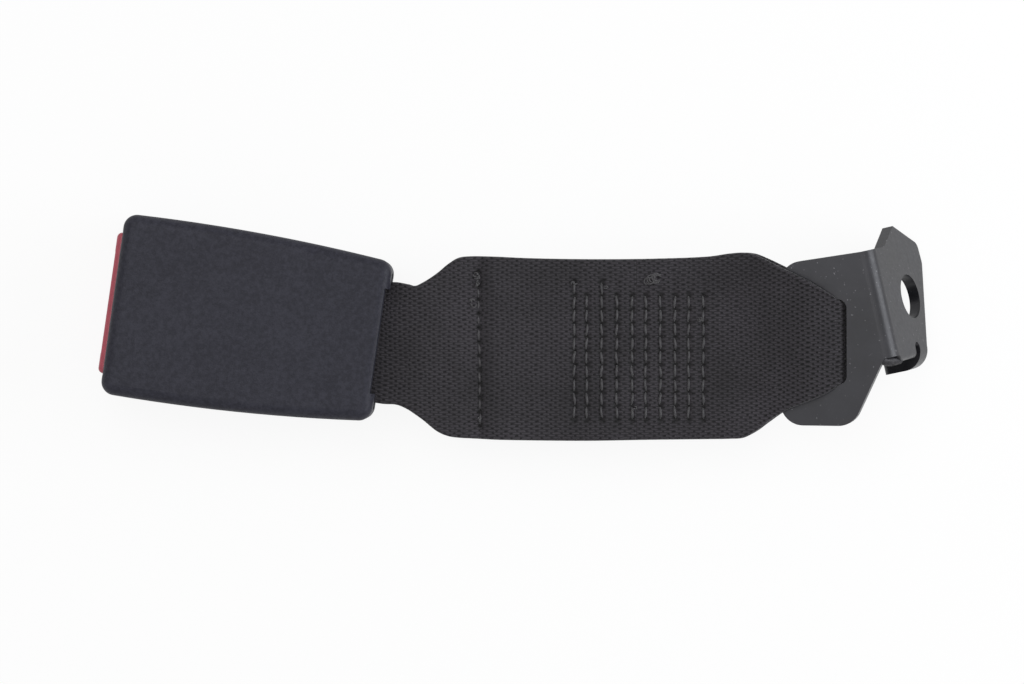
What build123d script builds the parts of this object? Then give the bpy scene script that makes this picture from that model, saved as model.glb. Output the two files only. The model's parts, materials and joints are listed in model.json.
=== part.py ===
"""Seat belt buckle on a short sewn strap with a bent steel anchor bracket.

Units are millimetres.  The buckle lies on its front cover: X runs along the buckle
from the tongue mouth (-X) to the strap (+X), Z points up out of the back cover, and
the origin is the middle of the flat face that the buckle rests on.
"""
import os
from math import asin, cos, degrees, radians, sin

from build123d import *

os.makedirs("parts", exist_ok=True)

# ---------------------------------------------------------------- driving sizes
# Covers
BUCKLE_LENGTH = 72.0
BUCKLE_THICKNESS = 25.0
FRONT_WIDTH = 48.0
MIDDLE_WIDTH = 47.8
REAR_WIDTH = 42.4
COVER_WALL = 2.2
CORNER_RADIUS = 3.6
SIDE_EDGE_RADIUS = 3.0
REAR_NOTCH_WIDTH = 28.0
REAR_NOTCH_DEPTH = 1.2
OPENING_MARGIN = 2.0
OPENING_RISE = 0.8
BOSS_RADIUS = 2.3
POST_RADIUS = 1.2
BOSS_X = 12.0
POST_REACH = 5.2
RIB_THICKNESS = 2.0
SPRING_SEAT_THICKNESS = 1.6
SPRING_SEAT_MARGIN = 0.5
RAIL_THICKNESS = 1.6
RAIL_INSET = 1.5
SMALLEST_CORNER = 0.8

# Steel frame
STEEL = 2.5
FRAME_INNER_WIDTH = 27.0
BASE_TOP = 22.5
BASE_FRONT = -31.0
BASE_REAR = 17.0
WALL_FRONT = -24.0
WALL_REAR = 15.5
WALL_BOTTOM = 6.0
WALL_NOSE_DEPTH = 8.5
JOGGLE_LENGTH = 4.6
STRAP_SLOT_WIDTH = 33.6
STRAP_SLOT_LENGTH = 3.9
BUCKLE_BAR_WIDTH = 4.5
FRAME_BEND_RADIUS = 2.0
WINDOW_CORNER = 1.0
STRAP_SLOT_CORNER = 1.5
CUT_OVER = 1.0

# Tongue channel and guide
TONGUE_ROOM_HEIGHT = 4.8
GUIDE_FLOOR = 0.8
BEZEL_LENGTH = 4.4
BEZEL_INSET = 0.4
MOUTH_FLARE = 1.2
SEAT_X = 14.4
SEAT_THICKNESS = 1.2
SEAT_WIDTH = 10.0
SPIGOT_LENGTH = 1.2

# Push button
BUTTON_WIDTH = 38.0
BUTTON_PROUD = 2.3
BUTTON_PLATE = 5.0
BUTTON_BOTTOM = 2.6
BUTTON_EDGE_RADIUS = 1.4
BUTTON_DISH_DEPTH = 0.7
CORE_REAR = -18.0
LEG_REAR = -14.0
LEG_THICKNESS = 2.1
ARM_WIDTH = 3.8
RAMP_SLOPE = 0.65
RAMP_LIFT = 0.35
ARM_BOTTOM = 4.0
CORE_RISE = 0.4
CORE_WALL = 1.8
CORE_ROOF = 1.6
LEG_RISE = 1.4
ROOT_OVERLAP = 1.0
DISH_HALF = 13.7
DISH_RADIUS = 22.0

# Latch
LATCH_PLATE = 2.5
LATCH_BOTTOM = 8.5
LATCH_WIDTH = 15.0
LATCH_FRONT = -9.5
PIVOT_X = 12.0
PIN_RADIUS = 1.5
PIN_CHAMFER = 0.3
BARREL_WALL = 1.5
NOSE_FRONT = -8.0
NOSE_LENGTH = 4.0
NOSE_WIDTH = 9.0
NOSE_INTO_BASE = 1.2
NOSE_SWEEP = 5.0
NOSE_SIDE_GAP = 0.7
NOSE_SWEEP_SHIFT = 0.6
NOSE_BEVEL = 1.6
NOSE_ROOT = 0.5
LATCH_SIDE_GAP = 1.1
EAR_REAR = -0.5
EAR_LENGTH = 3.0
EAR_REACH = 4.5

# Ejector
EJECTOR_FRONT = -10.0
EJECTOR_ARM_LENGTH = 8.0
EJECTOR_CROSS_LENGTH = 5.0
EJECTOR_GAP = 12.4
EJECTOR_POCKET = 4.0
EJECTOR_POCKET_GAP = 0.2
EJECTOR_NOSE_RADIUS = 1.0

# Coil springs
SPRING_WIRE = 0.6
WIRE_SIDES = 6
BUTTON_SPRING_RADIUS = 1.8
BUTTON_SPRING_LENGTH = 16.0
BUTTON_SPRING_TURNS = 5
EJECTOR_SPRING_RADIUS = 1.7
EJECTOR_SPRING_TURNS = 5
LATCH_SPRING_RADIUS = 2.0
LATCH_SPRING_TURNS = 3
LATCH_SPRING_X = -1.0

# Webbing
WEBBING = 1.3
WEBBING_WIDTH = 48.6
STRAP_SHIFT = -0.7
NARROW_WIDTH = 32.8
BAR_WEBBING_WIDTH = 31.6
STUB_LENGTH = 5.7
STRAP_LENGTH = 91.8
STRAP_YAW = 8.15
TAPER_START = 4.5
TAPER_END = 14.5
TAPER_RADIUS = 5.0
FLEX_GAP = 0.6
OVERLAP_START = 41.0
OVERLAP_END = 84.0
EYE_SHOULDER_WIDTH = 38.6
EYE_NECK_WIDTH = 30.6
EYE_NECK_FROM_TAIL = 8.5
LOOP_TIP_WIDTH = 19.6
LOOP_TAIL = 8.9
LOOP_OVERRUN = 3.0
LOOP_SPLIT = 1.5
EYE_START_SLOPE = 0.25
EYE_TIP_SLOPE = 1.4

# Stitching
STITCH_COLUMNS = 10
STITCH_PITCH = 3.8
STITCH_FIRST = 45.4
STITCH_LENGTH = 36.0
LINE_STITCH_X = 20.3
LINE_STITCH_LENGTH = 41.0
THREAD_WIDTH = 1.0
THREAD_HEIGHT = 0.4

# Anchor bracket
SHEET = 3.0
BEND_INNER_RADIUS = 0.8
PLATE_TILT = 16.0
BEND_ANGLE = 77.3
SLOT_SKEW = 12.7
PLATE_TOP_REACH = 21.5
PLATE_BOTTOM_REACH = 21.2
PLATE_HEEL = 28.2
PLATE_CORNER = 6.0
NECK_WIDTH = 28.8
ANCHOR_SLOT_WIDTH = 5.3
ANCHOR_SLOT_LENGTH = 22.6
ANCHOR_SLOT_CORNER = 2.4
ANCHOR_SLOT_SHIFT = 1.0
ANCHOR_BAR_WIDTH = 12.5
SLOT_EDGE_TO_BEND = 8.9
SLOT_SIDE_SHIFT = -8.97
LEAF_LENGTH = 29.3
LEAF_SHOULDER = 6.3
LEAF_APEX_LENGTH = 14.9
LEAF_APEX_REACH = 19.3
LEAF_TIP_REACH = 13.3
LEAF_TIP_LENGTH = 28.8
LEAF_TIP_LOW = 7.9
LEAF_CORNER = 2.5
BOLT_HOLE_RADIUS = 5.95
HOLE_SHIFT = -0.05
HOLE_FROM_BEND = 16.3
FLANGE_LENGTH = 12.0
FLANGE_BEND_LINE = 13.9
FLANGE_START = 14.9
FLANGE_END = 20.0
FLANGE_INNER_RADIUS = 2.4
FLANGE_CORNER = 2.0
SLIT_START = 11.9
SLIT_DEPTH = 12.3
TAB_START = 2.5
TAB_REACH = 16.2
TAB_ROLL = 1.6

# Clearances
SLIDE_GAP = 0.3
SEAT_GAP = 0.3
RUNNING_GAP = 0.05
LOOP_GAP = 0.15

# ---------------------------------------------------------------- dependent sizes
FRONT_X = -BUCKLE_LENGTH / 2
REAR_X = BUCKLE_LENGTH / 2
SPLIT_Z = BUCKLE_THICKNESS / 2
STRAP_OPENING_WIDTH = NARROW_WIDTH + 2 * OPENING_MARGIN
CAVITY_TOP = BUCKLE_THICKNESS - COVER_WALL

BASE_BOTTOM = BASE_TOP - STEEL
FRAME_OUTER_WIDTH = FRAME_INNER_WIDTH + 2 * STEEL
STRAP_PLATE_FRONT = BASE_REAR + JOGGLE_LENGTH
SLOT_REAR = STRAP_PLATE_FRONT + STEEL / 2 + STRAP_SLOT_LENGTH
BAR_REAR = SLOT_REAR + BUCKLE_BAR_WIDTH

FLOOR_TOP = BASE_BOTTOM - TONGUE_ROOM_HEIGHT
FLOOR_BOTTOM = FLOOR_TOP - GUIDE_FLOOR
BUTTON_TOP = FLOOR_BOTTOM - SLIDE_GAP
BEZEL_WIDTH = BUTTON_WIDTH
STRAP_PLATE_WIDTH = BUTTON_WIDTH
CHANNEL_WIDTH = FRAME_INNER_WIDTH - 2 * SLIDE_GAP

LATCH_TOP = LATCH_BOTTOM + LATCH_PLATE
PIVOT_Z = LATCH_BOTTOM + LATCH_PLATE / 2
NOSE_REAR = NOSE_FRONT + NOSE_LENGTH
EAR_FRONT = EAR_REAR - EAR_LENGTH
ARM_INNER = LATCH_WIDTH / 2 + LATCH_SIDE_GAP
ARM_OUTER = ARM_INNER + ARM_WIDTH

STRAP_PLATE_BOTTOM = SPLIT_Z - STEEL / 2
STRAP_PLATE_TOP = SPLIT_Z + STEEL / 2

BUTTON_FRONT = FRONT_X - BUTTON_PROUD
LEG_INNER = FRAME_OUTER_WIDTH / 2 + 3 * SLIDE_GAP
BUTTON_SPRING_Y = LEG_INNER + BUTTON_SPRING_RADIUS
BUTTON_SPRING_Z = (BUTTON_BOTTOM + BUTTON_TOP) / 2
SPRING_SEAT_X = LEG_REAR + BUTTON_SPRING_LENGTH

FLEX_X = REAR_X + STUB_LENGTH

# ---------------------------------------------------------------- strap and bracket planes
BEND_OUTER_RADIUS = BEND_INNER_RADIUS + SHEET
LEAF_PITCH = BEND_ANGLE - PLATE_TILT
TIP_DEPTH = (BEND_OUTER_RADIUS * (cos(radians(PLATE_TILT)) - cos(radians(LEAF_PITCH)))
             + LEAF_LENGTH * sin(radians(LEAF_PITCH)) + SHEET * cos(radians(LEAF_PITCH)))


def turned(yaw, pitch):
    """Unit vectors of a frame turned about Z by yaw and then tipped nose-up by pitch."""
    turn = radians(yaw)
    tip = radians(pitch)
    along = Vector(cos(tip) * cos(turn), cos(tip) * sin(turn), sin(tip))
    across = Vector(-sin(turn), cos(turn), 0)
    up = Vector(-sin(tip) * cos(turn), -sin(tip) * sin(turn), cos(tip))
    return along, across, up


plate_along, plate_across, plate_up = turned(STRAP_YAW + SLOT_SKEW, PLATE_TILT)
SKEW_COS = cos(radians(SLOT_SKEW))
SKEW_SIN = sin(radians(SLOT_SKEW))
LOOP_REACH = LOOP_TAIL + ANCHOR_BAR_WIDTH + ANCHOR_SLOT_WIDTH
LOOP_START_A = -SLOT_EDGE_TO_BEND - LOOP_REACH * SKEW_COS
LOOP_START_B = SLOT_SIDE_SHIFT + LOOP_REACH * SKEW_SIN
bend_to_flex = (plate_along * LOOP_START_A + plate_across * LOOP_START_B + plate_up * (-SHEET / 2))

strap_start = Vector(FLEX_X, 0, SPLIT_Z)
anchor_flex_z = TIP_DEPTH + bend_to_flex.Z
STRAP_PITCH = degrees(asin((anchor_flex_z - SPLIT_Z) / STRAP_LENGTH))
strap_along, strap_across, strap_up = turned(STRAP_YAW, STRAP_PITCH)
anchor_flex = strap_start + strap_along * STRAP_LENGTH
bend_point = anchor_flex - bend_to_flex

strap_plan = Plane(origin=strap_start, x_dir=strap_along, z_dir=strap_up)
strap_side = Plane(origin=strap_start, x_dir=strap_along, z_dir=-strap_across)
plate_plan = Plane(origin=bend_point, x_dir=plate_along, z_dir=plate_up)
plate_side = Plane(origin=bend_point, x_dir=plate_along, z_dir=-plate_across)
loop_along = plate_along * SKEW_COS - plate_across * SKEW_SIN
loop_across = plate_along * SKEW_SIN + plate_across * SKEW_COS
loop_plan = Plane(origin=anchor_flex, x_dir=loop_along, z_dir=plate_up)
loop_side = Plane(origin=anchor_flex, x_dir=loop_along, z_dir=-loop_across)
leaf_along = plate_along * cos(radians(BEND_ANGLE)) - plate_up * sin(radians(BEND_ANGLE))
leaf_out = plate_along * sin(radians(BEND_ANGLE)) + plate_up * cos(radians(BEND_ANGLE))
leaf_start = (bend_point - plate_up * BEND_OUTER_RADIUS + leaf_out * BEND_OUTER_RADIUS)
leaf_plan = Plane(origin=leaf_start, x_dir=leaf_along, z_dir=leaf_out)


def cover_outline(inset):
    """Plan outline of the covers, drawn a given distance inside the outer wall."""
    front = FRONT_X + inset
    rear = REAR_X - inset
    front_half = FRONT_WIDTH / 2 - inset
    middle_half = MIDDLE_WIDTH / 2 - inset
    rear_half = REAR_WIDTH / 2 - inset
    with BuildSketch(mode=Mode.PRIVATE) as outline:
        with BuildLine():
            ThreePointArc((front, front_half), (0, middle_half), (rear, rear_half))
            Line((rear, rear_half), (rear, -rear_half))
            ThreePointArc((rear, -rear_half), (0, -middle_half), (front, -front_half))
            Line((front, -front_half), (front, front_half))
        make_face()
        fillet(outline.vertices(), max(CORNER_RADIUS - inset, SMALLEST_CORNER))
    return outline.sketch


def strap_outline():
    """Plan outline of the sewn strap: narrow at the buckle, full width further on."""
    narrow = NARROW_WIDTH / 2
    full = WEBBING_WIDTH / 2
    with BuildSketch(mode=Mode.PRIVATE) as outline:
        with BuildLine():
            Polyline((0, narrow), (TAPER_START, narrow), (TAPER_END, STRAP_SHIFT + full),
                     (STRAP_LENGTH, STRAP_SHIFT + full), (STRAP_LENGTH, STRAP_SHIFT - full),
                     (TAPER_END, STRAP_SHIFT - full), (TAPER_START, -narrow), (0, -narrow), close=True)
        make_face()
        tapers = outline.vertices().sort_by(Axis.X)[2:6]
        fillet(tapers, TAPER_RADIUS)
    return outline.sketch


def corner(sketch, x, y):
    """The corner of a sketch that is nearest to a point."""
    return sketch.vertices().sort_by_distance((x, y, 0))[0]


def coil_spring(radius, length, turns, plane):
    """Compression spring along the plane's normal, starting at its origin."""
    pitch = (length - SPRING_WIRE) / turns
    with BuildPart(mode=Mode.PRIVATE) as coil:
        with BuildLine() as path:
            Helix(pitch, pitch * turns, radius - SPRING_WIRE / 2, center=(0, 0, SPRING_WIRE / 2))
        with BuildSketch(Plane(path.wire() @ 0, z_dir=path.wire() % 0)):
            RegularPolygon(SPRING_WIRE / 2, WIRE_SIDES)
        sweep(is_frenet=True)
    return plane.location * coil.part


# ---------------------------------------------------------------- covers
with BuildPart() as back_cover:
    with BuildSketch(Plane.XY.offset(SPLIT_Z)):
        add(cover_outline(0))
    extrude(amount=BUCKLE_THICKNESS - SPLIT_Z)
    rim = back_cover.faces().sort_by(Axis.Z)[-1].edges()
    fillet(rim.sort_by(Axis.X)[1:], SIDE_EDGE_RADIUS)
    with BuildSketch(Plane.XY.offset(SPLIT_Z)):
        add(cover_outline(COVER_WALL))
    extrude(amount=CAVITY_TOP - SPLIT_Z, mode=Mode.SUBTRACT)
    with BuildSketch(Plane.XY.offset(SPLIT_Z)):
        with Locations((FRONT_X, 0)):
            Rectangle(4 * COVER_WALL, BUTTON_WIDTH + 2 * SLIDE_GAP)
    extrude(amount=CAVITY_TOP - SPLIT_Z, mode=Mode.SUBTRACT)
    with BuildSketch(Plane.XY.offset(SPLIT_Z)):
        with Locations((REAR_X, 0)):
            Rectangle(4 * COVER_WALL, STRAP_OPENING_WIDTH)
    extrude(amount=2 * WEBBING + OPENING_RISE, mode=Mode.SUBTRACT)
    with BuildSketch(Plane.XY.offset(SPLIT_Z)):
        with Locations((REAR_X, 0)):
            Rectangle(2 * REAR_NOTCH_DEPTH, REAR_NOTCH_WIDTH)
    extrude(amount=BUCKLE_THICKNESS, mode=Mode.SUBTRACT)
    with BuildSketch(Plane.XY.offset(SPLIT_Z)):
        with Locations((BOSS_X, FRAME_OUTER_WIDTH / 2 + BOSS_RADIUS + SLIDE_GAP),
                       (BOSS_X, -FRAME_OUTER_WIDTH / 2 - BOSS_RADIUS - SLIDE_GAP)):
            Circle(BOSS_RADIUS)
            Circle(POST_RADIUS + RUNNING_GAP, mode=Mode.SUBTRACT)
    extrude(amount=CAVITY_TOP - SPLIT_Z)


with BuildPart() as front_cover:
    with BuildSketch():
        add(cover_outline(0))
    extrude(amount=SPLIT_Z)
    rim = front_cover.faces().sort_by(Axis.Z)[0].edges()
    fillet(rim.sort_by(Axis.X)[1:], SIDE_EDGE_RADIUS)
    with BuildSketch(Plane.XY.offset(COVER_WALL)):
        add(cover_outline(COVER_WALL))
    extrude(amount=SPLIT_Z, mode=Mode.SUBTRACT)
    with BuildSketch(Plane.XY.offset(BUTTON_BOTTOM - SLIDE_GAP)):
        with Locations((FRONT_X, 0)):
            Rectangle(4 * COVER_WALL, BUTTON_WIDTH + 2 * SLIDE_GAP)
    extrude(amount=SPLIT_Z, mode=Mode.SUBTRACT)
    with BuildSketch(Plane.XY.offset(SPLIT_Z)):
        with Locations((REAR_X, 0)):
            Rectangle(4 * COVER_WALL, STRAP_OPENING_WIDTH)
    extrude(amount=-2 * WEBBING - OPENING_RISE, mode=Mode.SUBTRACT)
    # posts that plug into the bosses of the back cover
    with BuildSketch(Plane.XY.offset(COVER_WALL)):
        with Locations((BOSS_X, FRAME_OUTER_WIDTH / 2 + BOSS_RADIUS + SLIDE_GAP),
                       (BOSS_X, -FRAME_OUTER_WIDTH / 2 - BOSS_RADIUS - SLIDE_GAP)):
            Circle(BOSS_RADIUS)
    extrude(amount=SPLIT_Z - COVER_WALL)
    with BuildSketch(Plane.XY.offset(SPLIT_Z)):
        with Locations((BOSS_X, FRAME_OUTER_WIDTH / 2 + BOSS_RADIUS + SLIDE_GAP),
                       (BOSS_X, -FRAME_OUTER_WIDTH / 2 - BOSS_RADIUS - SLIDE_GAP)):
            Circle(POST_RADIUS)
    extrude(amount=POST_REACH)
    # ribs that carry the frame's side walls
    with BuildSketch(Plane.XY.offset(COVER_WALL)):
        for side in (1, -1):
            with Locations(((WALL_REAR - WALL_NOSE_DEPTH) / 2, side * (FRAME_INNER_WIDTH + STEEL) / 2)):
                Rectangle(WALL_REAR + WALL_NOSE_DEPTH, RIB_THICKNESS)
    extrude(amount=WALL_BOTTOM - COVER_WALL)
    # seats for the two button springs
    with BuildSketch(Plane.XY.offset(COVER_WALL)):
        for side in (1, -1):
            with Locations((SPRING_SEAT_X + SPRING_SEAT_THICKNESS / 2, side * BUTTON_SPRING_Y)):
                Rectangle(SPRING_SEAT_THICKNESS, 2 * (BUTTON_SPRING_RADIUS + SPRING_SEAT_MARGIN))
    extrude(amount=BUTTON_SPRING_Z + BUTTON_SPRING_RADIUS - COVER_WALL)
    # spigot that centres the latch spring
    with BuildSketch(Plane.XY.offset(COVER_WALL)):
        with Locations((LATCH_SPRING_X, 0)):
            Circle(LATCH_SPRING_RADIUS - SPRING_WIRE - SLIDE_GAP)
    extrude(amount=POST_RADIUS)
    # rail that holds the rear of the frame at mid thickness
    with BuildSketch(Plane.XY.offset(COVER_WALL)):
        for side in (1, -1):
            with Locations(((SLOT_REAR + BAR_REAR) / 2, side * (STRAP_SLOT_WIDTH / 2 + RAIL_INSET))):
                Rectangle(BUCKLE_BAR_WIDTH, RAIL_THICKNESS)
    extrude(amount=STRAP_PLATE_BOTTOM - COVER_WALL)

# ---------------------------------------------------------------- steel frame
with BuildPart() as frame:
    # folded channel: base with two side walls
    with BuildSketch(Plane.YZ.offset(WALL_FRONT)):
        with Locations((0, BASE_TOP)):
            Rectangle(FRAME_OUTER_WIDTH, BASE_TOP - WALL_BOTTOM, align=(Align.CENTER, Align.MAX))
        with Locations((0, BASE_BOTTOM)):
            Rectangle(FRAME_INNER_WIDTH, BASE_TOP, align=(Align.CENTER, Align.MAX), mode=Mode.SUBTRACT)
    extrude(amount=WALL_REAR - WALL_FRONT)
    with BuildSketch(Plane.XY.offset(BASE_BOTTOM)):
        with Locations((BASE_FRONT, 0)):
            Rectangle(BASE_REAR - BASE_FRONT, FRAME_OUTER_WIDTH, align=(Align.MIN, Align.CENTER))
    extrude(amount=STEEL)
    crown = frame.edges().filter_by(Axis.X).group_by(Axis.Z)[-1]
    fillet(crown, FRAME_BEND_RADIUS)
    # side walls rise towards the mouth
    with BuildSketch(Plane.XZ.offset(-FRAME_OUTER_WIDTH)):
        with BuildLine():
            Polyline((WALL_FRONT - CUT_OVER, WALL_BOTTOM - CUT_OVER),
                     (-WALL_NOSE_DEPTH, WALL_BOTTOM - CUT_OVER),
                     (-WALL_NOSE_DEPTH, WALL_BOTTOM), (WALL_FRONT, SPLIT_Z + CUT_OVER),
                     (WALL_FRONT - CUT_OVER, SPLIT_Z + CUT_OVER), close=True)
        make_face()
    extrude(amount=2 * FRAME_OUTER_WIDTH, mode=Mode.SUBTRACT)
    # window for the latch nose and bores for the pivot pin
    with BuildSketch(Plane.XY.offset(BASE_BOTTOM)):
        with Locations(((NOSE_FRONT + NOSE_REAR) / 2, 0)):
            RectangleRounded(NOSE_LENGTH + NOSE_SWEEP / 2, NOSE_WIDTH + 2 * NOSE_SIDE_GAP, WINDOW_CORNER)
    extrude(amount=STEEL, mode=Mode.SUBTRACT)
    with BuildSketch(Plane.XZ.offset(-FRAME_OUTER_WIDTH)):
        with Locations((PIVOT_X, PIVOT_Z)):
            Circle(PIN_RADIUS + RUNNING_GAP)
    extrude(amount=2 * FRAME_OUTER_WIDTH, mode=Mode.SUBTRACT)
    # joggle down to the strap plate at mid thickness
    with BuildSketch(Plane.XZ.offset(-FRAME_OUTER_WIDTH / 2)):
        with BuildLine():
            Polyline((BASE_REAR, BASE_TOP), (STRAP_PLATE_FRONT + STEEL / 2, STRAP_PLATE_TOP),
                     (STRAP_PLATE_FRONT, STRAP_PLATE_BOTTOM), (BASE_REAR - STEEL / 2, BASE_BOTTOM),
                     close=True)
        make_face()
    extrude(amount=FRAME_OUTER_WIDTH)
    with BuildSketch(Plane.XY.offset(STRAP_PLATE_BOTTOM)):
        with Locations((STRAP_PLATE_FRONT - STEEL / 2, 0)):
            Rectangle(BAR_REAR - STRAP_PLATE_FRONT + STEEL / 2, STRAP_PLATE_WIDTH,
                      align=(Align.MIN, Align.CENTER))
        with Locations((SLOT_REAR - STRAP_SLOT_LENGTH / 2, 0)):
            RectangleRounded(STRAP_SLOT_LENGTH, STRAP_SLOT_WIDTH, STRAP_SLOT_CORNER, mode=Mode.SUBTRACT)
    extrude(amount=STEEL)

with BuildPart() as latch_pivot_pin:
    with BuildSketch(Plane.XZ.offset(-FRAME_OUTER_WIDTH / 2)):
        with Locations((PIVOT_X, PIVOT_Z)):
            Circle(PIN_RADIUS)
    extrude(amount=FRAME_OUTER_WIDTH)
    chamfer(latch_pivot_pin.edges().filter_by(GeomType.CIRCLE), PIN_CHAMFER)

# ---------------------------------------------------------------- tongue guide
with BuildPart() as tongue_guide:
    with BuildSketch(Plane.XY.offset(FLOOR_BOTTOM)):
        with Locations((FRONT_X + BEZEL_INSET, 0)):
            Rectangle(BEZEL_LENGTH, BEZEL_WIDTH, align=(Align.MIN, Align.CENTER))
    extrude(amount=CAVITY_TOP - SEAT_GAP - FLOOR_BOTTOM)
    with BuildSketch(Plane.XY.offset(FLOOR_BOTTOM)):
        with Locations((FRONT_X + BEZEL_INSET, 0)):
            Rectangle(SEAT_X + SEAT_THICKNESS - FRONT_X - BEZEL_INSET, CHANNEL_WIDTH,
                      align=(Align.MIN, Align.CENTER))
        with Locations(((NOSE_REAR + NOSE_FRONT) / 2 - NOSE_SWEEP_SHIFT, 0)):
            Rectangle(NOSE_LENGTH + NOSE_SWEEP, NOSE_WIDTH + 2 * NOSE_SIDE_GAP, mode=Mode.SUBTRACT)
    extrude(amount=GUIDE_FLOOR)
    # slot through the bezel, flared at the mouth
    with BuildSketch(Plane.YZ.offset(FRONT_X)):
        with Locations((0, (FLOOR_TOP + BASE_BOTTOM) / 2)):
            Rectangle(FRAME_INNER_WIDTH, TONGUE_ROOM_HEIGHT)
    extrude(amount=BEZEL_INSET + BEZEL_LENGTH + CUT_OVER, mode=Mode.SUBTRACT)
    mouth = tongue_guide.edges().group_by(Axis.X)[0].filter_by(Axis.Y)
    chamfer(mouth.sort_by(Axis.Z)[2], MOUTH_FLARE)
    # room for the front end of the frame's base
    with BuildSketch(Plane.XY.offset(BASE_BOTTOM - SEAT_GAP / 2)):
        with Locations((BASE_FRONT - SEAT_GAP, 0)):
            Rectangle(BEZEL_LENGTH, FRAME_OUTER_WIDTH + SEAT_GAP, align=(Align.MIN, Align.CENTER))
    extrude(amount=BASE_TOP, mode=Mode.SUBTRACT)
    # end wall that the ejector spring pushes against
    with BuildSketch(Plane.YZ.offset(SEAT_X)):
        with Locations((0, FLOOR_TOP)):
            Rectangle(SEAT_WIDTH, TONGUE_ROOM_HEIGHT - SLIDE_GAP, align=(Align.CENTER, Align.MIN))
    extrude(amount=SEAT_THICKNESS)
    with BuildSketch(Plane.YZ.offset(SEAT_X)):
        with Locations((0, (FLOOR_TOP + BASE_BOTTOM) / 2)):
            Circle(EJECTOR_SPRING_RADIUS - SPRING_WIRE - SLIDE_GAP)
    extrude(amount=-SPIGOT_LENGTH)

# ---------------------------------------------------------------- push button
with BuildPart() as press_button:
    with BuildSketch(Plane.YZ.offset(BUTTON_FRONT)):
        with Locations((0, (BUTTON_BOTTOM + BUTTON_TOP) / 2)):
            Rectangle(BUTTON_WIDTH, BUTTON_TOP - BUTTON_BOTTOM)
    extrude(amount=BUTTON_PLATE)
    face_rim = press_button.faces().sort_by(Axis.X)[0].edges()
    fillet(face_rim + press_button.edges().filter_by(Axis.X), BUTTON_EDGE_RADIUS)
    # core between the frame's side walls, open underneath
    with BuildSketch(Plane.XY.offset(BUTTON_TOP)):
        with Locations((BUTTON_FRONT + BUTTON_PLATE, 0)):
            Rectangle(CORE_REAR - BUTTON_FRONT - BUTTON_PLATE, 2 * ARM_OUTER, align=(Align.MIN, Align.CENTER))
    extrude(amount=BUTTON_BOTTOM + CORE_RISE - BUTTON_TOP)
    with BuildSketch(Plane.XY.offset(BUTTON_BOTTOM)):
        with Locations(((BUTTON_FRONT + BUTTON_PLATE + CORE_REAR) / 2, 0)):
            Rectangle(CORE_REAR - BUTTON_FRONT - BUTTON_PLATE - 2 * CORE_WALL, 2 * ARM_INNER)
    extrude(amount=BUTTON_TOP - BUTTON_BOTTOM - CORE_ROOF, mode=Mode.SUBTRACT)
    # outer legs that carry the return springs
    for side in (1, -1):
        with BuildSketch(Plane.XY.offset(BUTTON_BOTTOM + LEG_RISE)):
            with Locations((BUTTON_FRONT + BUTTON_PLATE - ROOT_OVERLAP,
                            side * (LEG_INNER + LEG_THICKNESS / 2))):
                Rectangle(LEG_REAR - BUTTON_FRONT - BUTTON_PLATE + ROOT_OVERLAP, LEG_THICKNESS,
                          align=(Align.MIN, Align.CENTER))
        extrude(amount=BUTTON_TOP - BUTTON_BOTTOM - LEG_RISE)
    # arms with sloping undersides that press the latch down
    for side in (1, -1):
        with BuildSketch(Plane.XZ.offset(-side * (ARM_INNER + ARM_OUTER) / 2)):
            with BuildLine():
                Polyline((CORE_REAR - ROOT_OVERLAP, BUTTON_TOP), (EAR_REAR, BUTTON_TOP),
                         (EAR_REAR, LATCH_TOP + RAMP_LIFT + RAMP_SLOPE * EAR_LENGTH),
                         (EAR_FRONT - (LATCH_TOP + RAMP_LIFT - ARM_BOTTOM) / RAMP_SLOPE, ARM_BOTTOM),
                         (CORE_REAR - ROOT_OVERLAP, ARM_BOTTOM), close=True)
            make_face()
        extrude(amount=ARM_WIDTH / 2, both=True)
    # shallow finger dish across the pressed face
    with BuildSketch(Plane.XZ.offset(-DISH_HALF)):
        with Locations((BUTTON_FRONT + BUTTON_DISH_DEPTH - DISH_RADIUS, BUTTON_SPRING_Z)):
            Circle(DISH_RADIUS)
    extrude(amount=2 * DISH_HALF, mode=Mode.SUBTRACT)

# ---------------------------------------------------------------- latch
with BuildPart() as latch:
    with BuildSketch(Plane.XY.offset(LATCH_BOTTOM)):
        with Locations((LATCH_FRONT, 0)):
            Rectangle(PIVOT_X - LATCH_FRONT, LATCH_WIDTH, align=(Align.MIN, Align.CENTER))
        with Locations(((EAR_FRONT + EAR_REAR) / 2, 0)):
            Rectangle(EAR_LENGTH, LATCH_WIDTH + 2 * EAR_REACH)
    extrude(amount=LATCH_PLATE)
    with BuildSketch(Plane.XZ.offset(-LATCH_WIDTH / 2)):
        with Locations((PIVOT_X, PIVOT_Z)):
            Circle(PIN_RADIUS + RUNNING_GAP + BARREL_WALL)
    extrude(amount=LATCH_WIDTH)
    # nose that drops through the tongue into the frame's window
    with BuildSketch(Plane.XZ.offset(-NOSE_WIDTH / 2)):
        with BuildLine():
            Polyline((NOSE_FRONT, LATCH_TOP - NOSE_ROOT), (NOSE_FRONT, FLOOR_TOP + NOSE_BEVEL),
                     (NOSE_FRONT + NOSE_BEVEL, BASE_BOTTOM + NOSE_INTO_BASE),
                     (NOSE_REAR, BASE_BOTTOM + NOSE_INTO_BASE), (NOSE_REAR, LATCH_TOP - NOSE_ROOT),
                     close=True)
        make_face()
    extrude(amount=NOSE_WIDTH)
    with BuildSketch(Plane.XZ.offset(-LATCH_WIDTH)):
        with Locations((PIVOT_X, PIVOT_Z)):
            Circle(PIN_RADIUS + RUNNING_GAP)
    extrude(amount=2 * LATCH_WIDTH, mode=Mode.SUBTRACT)

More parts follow.
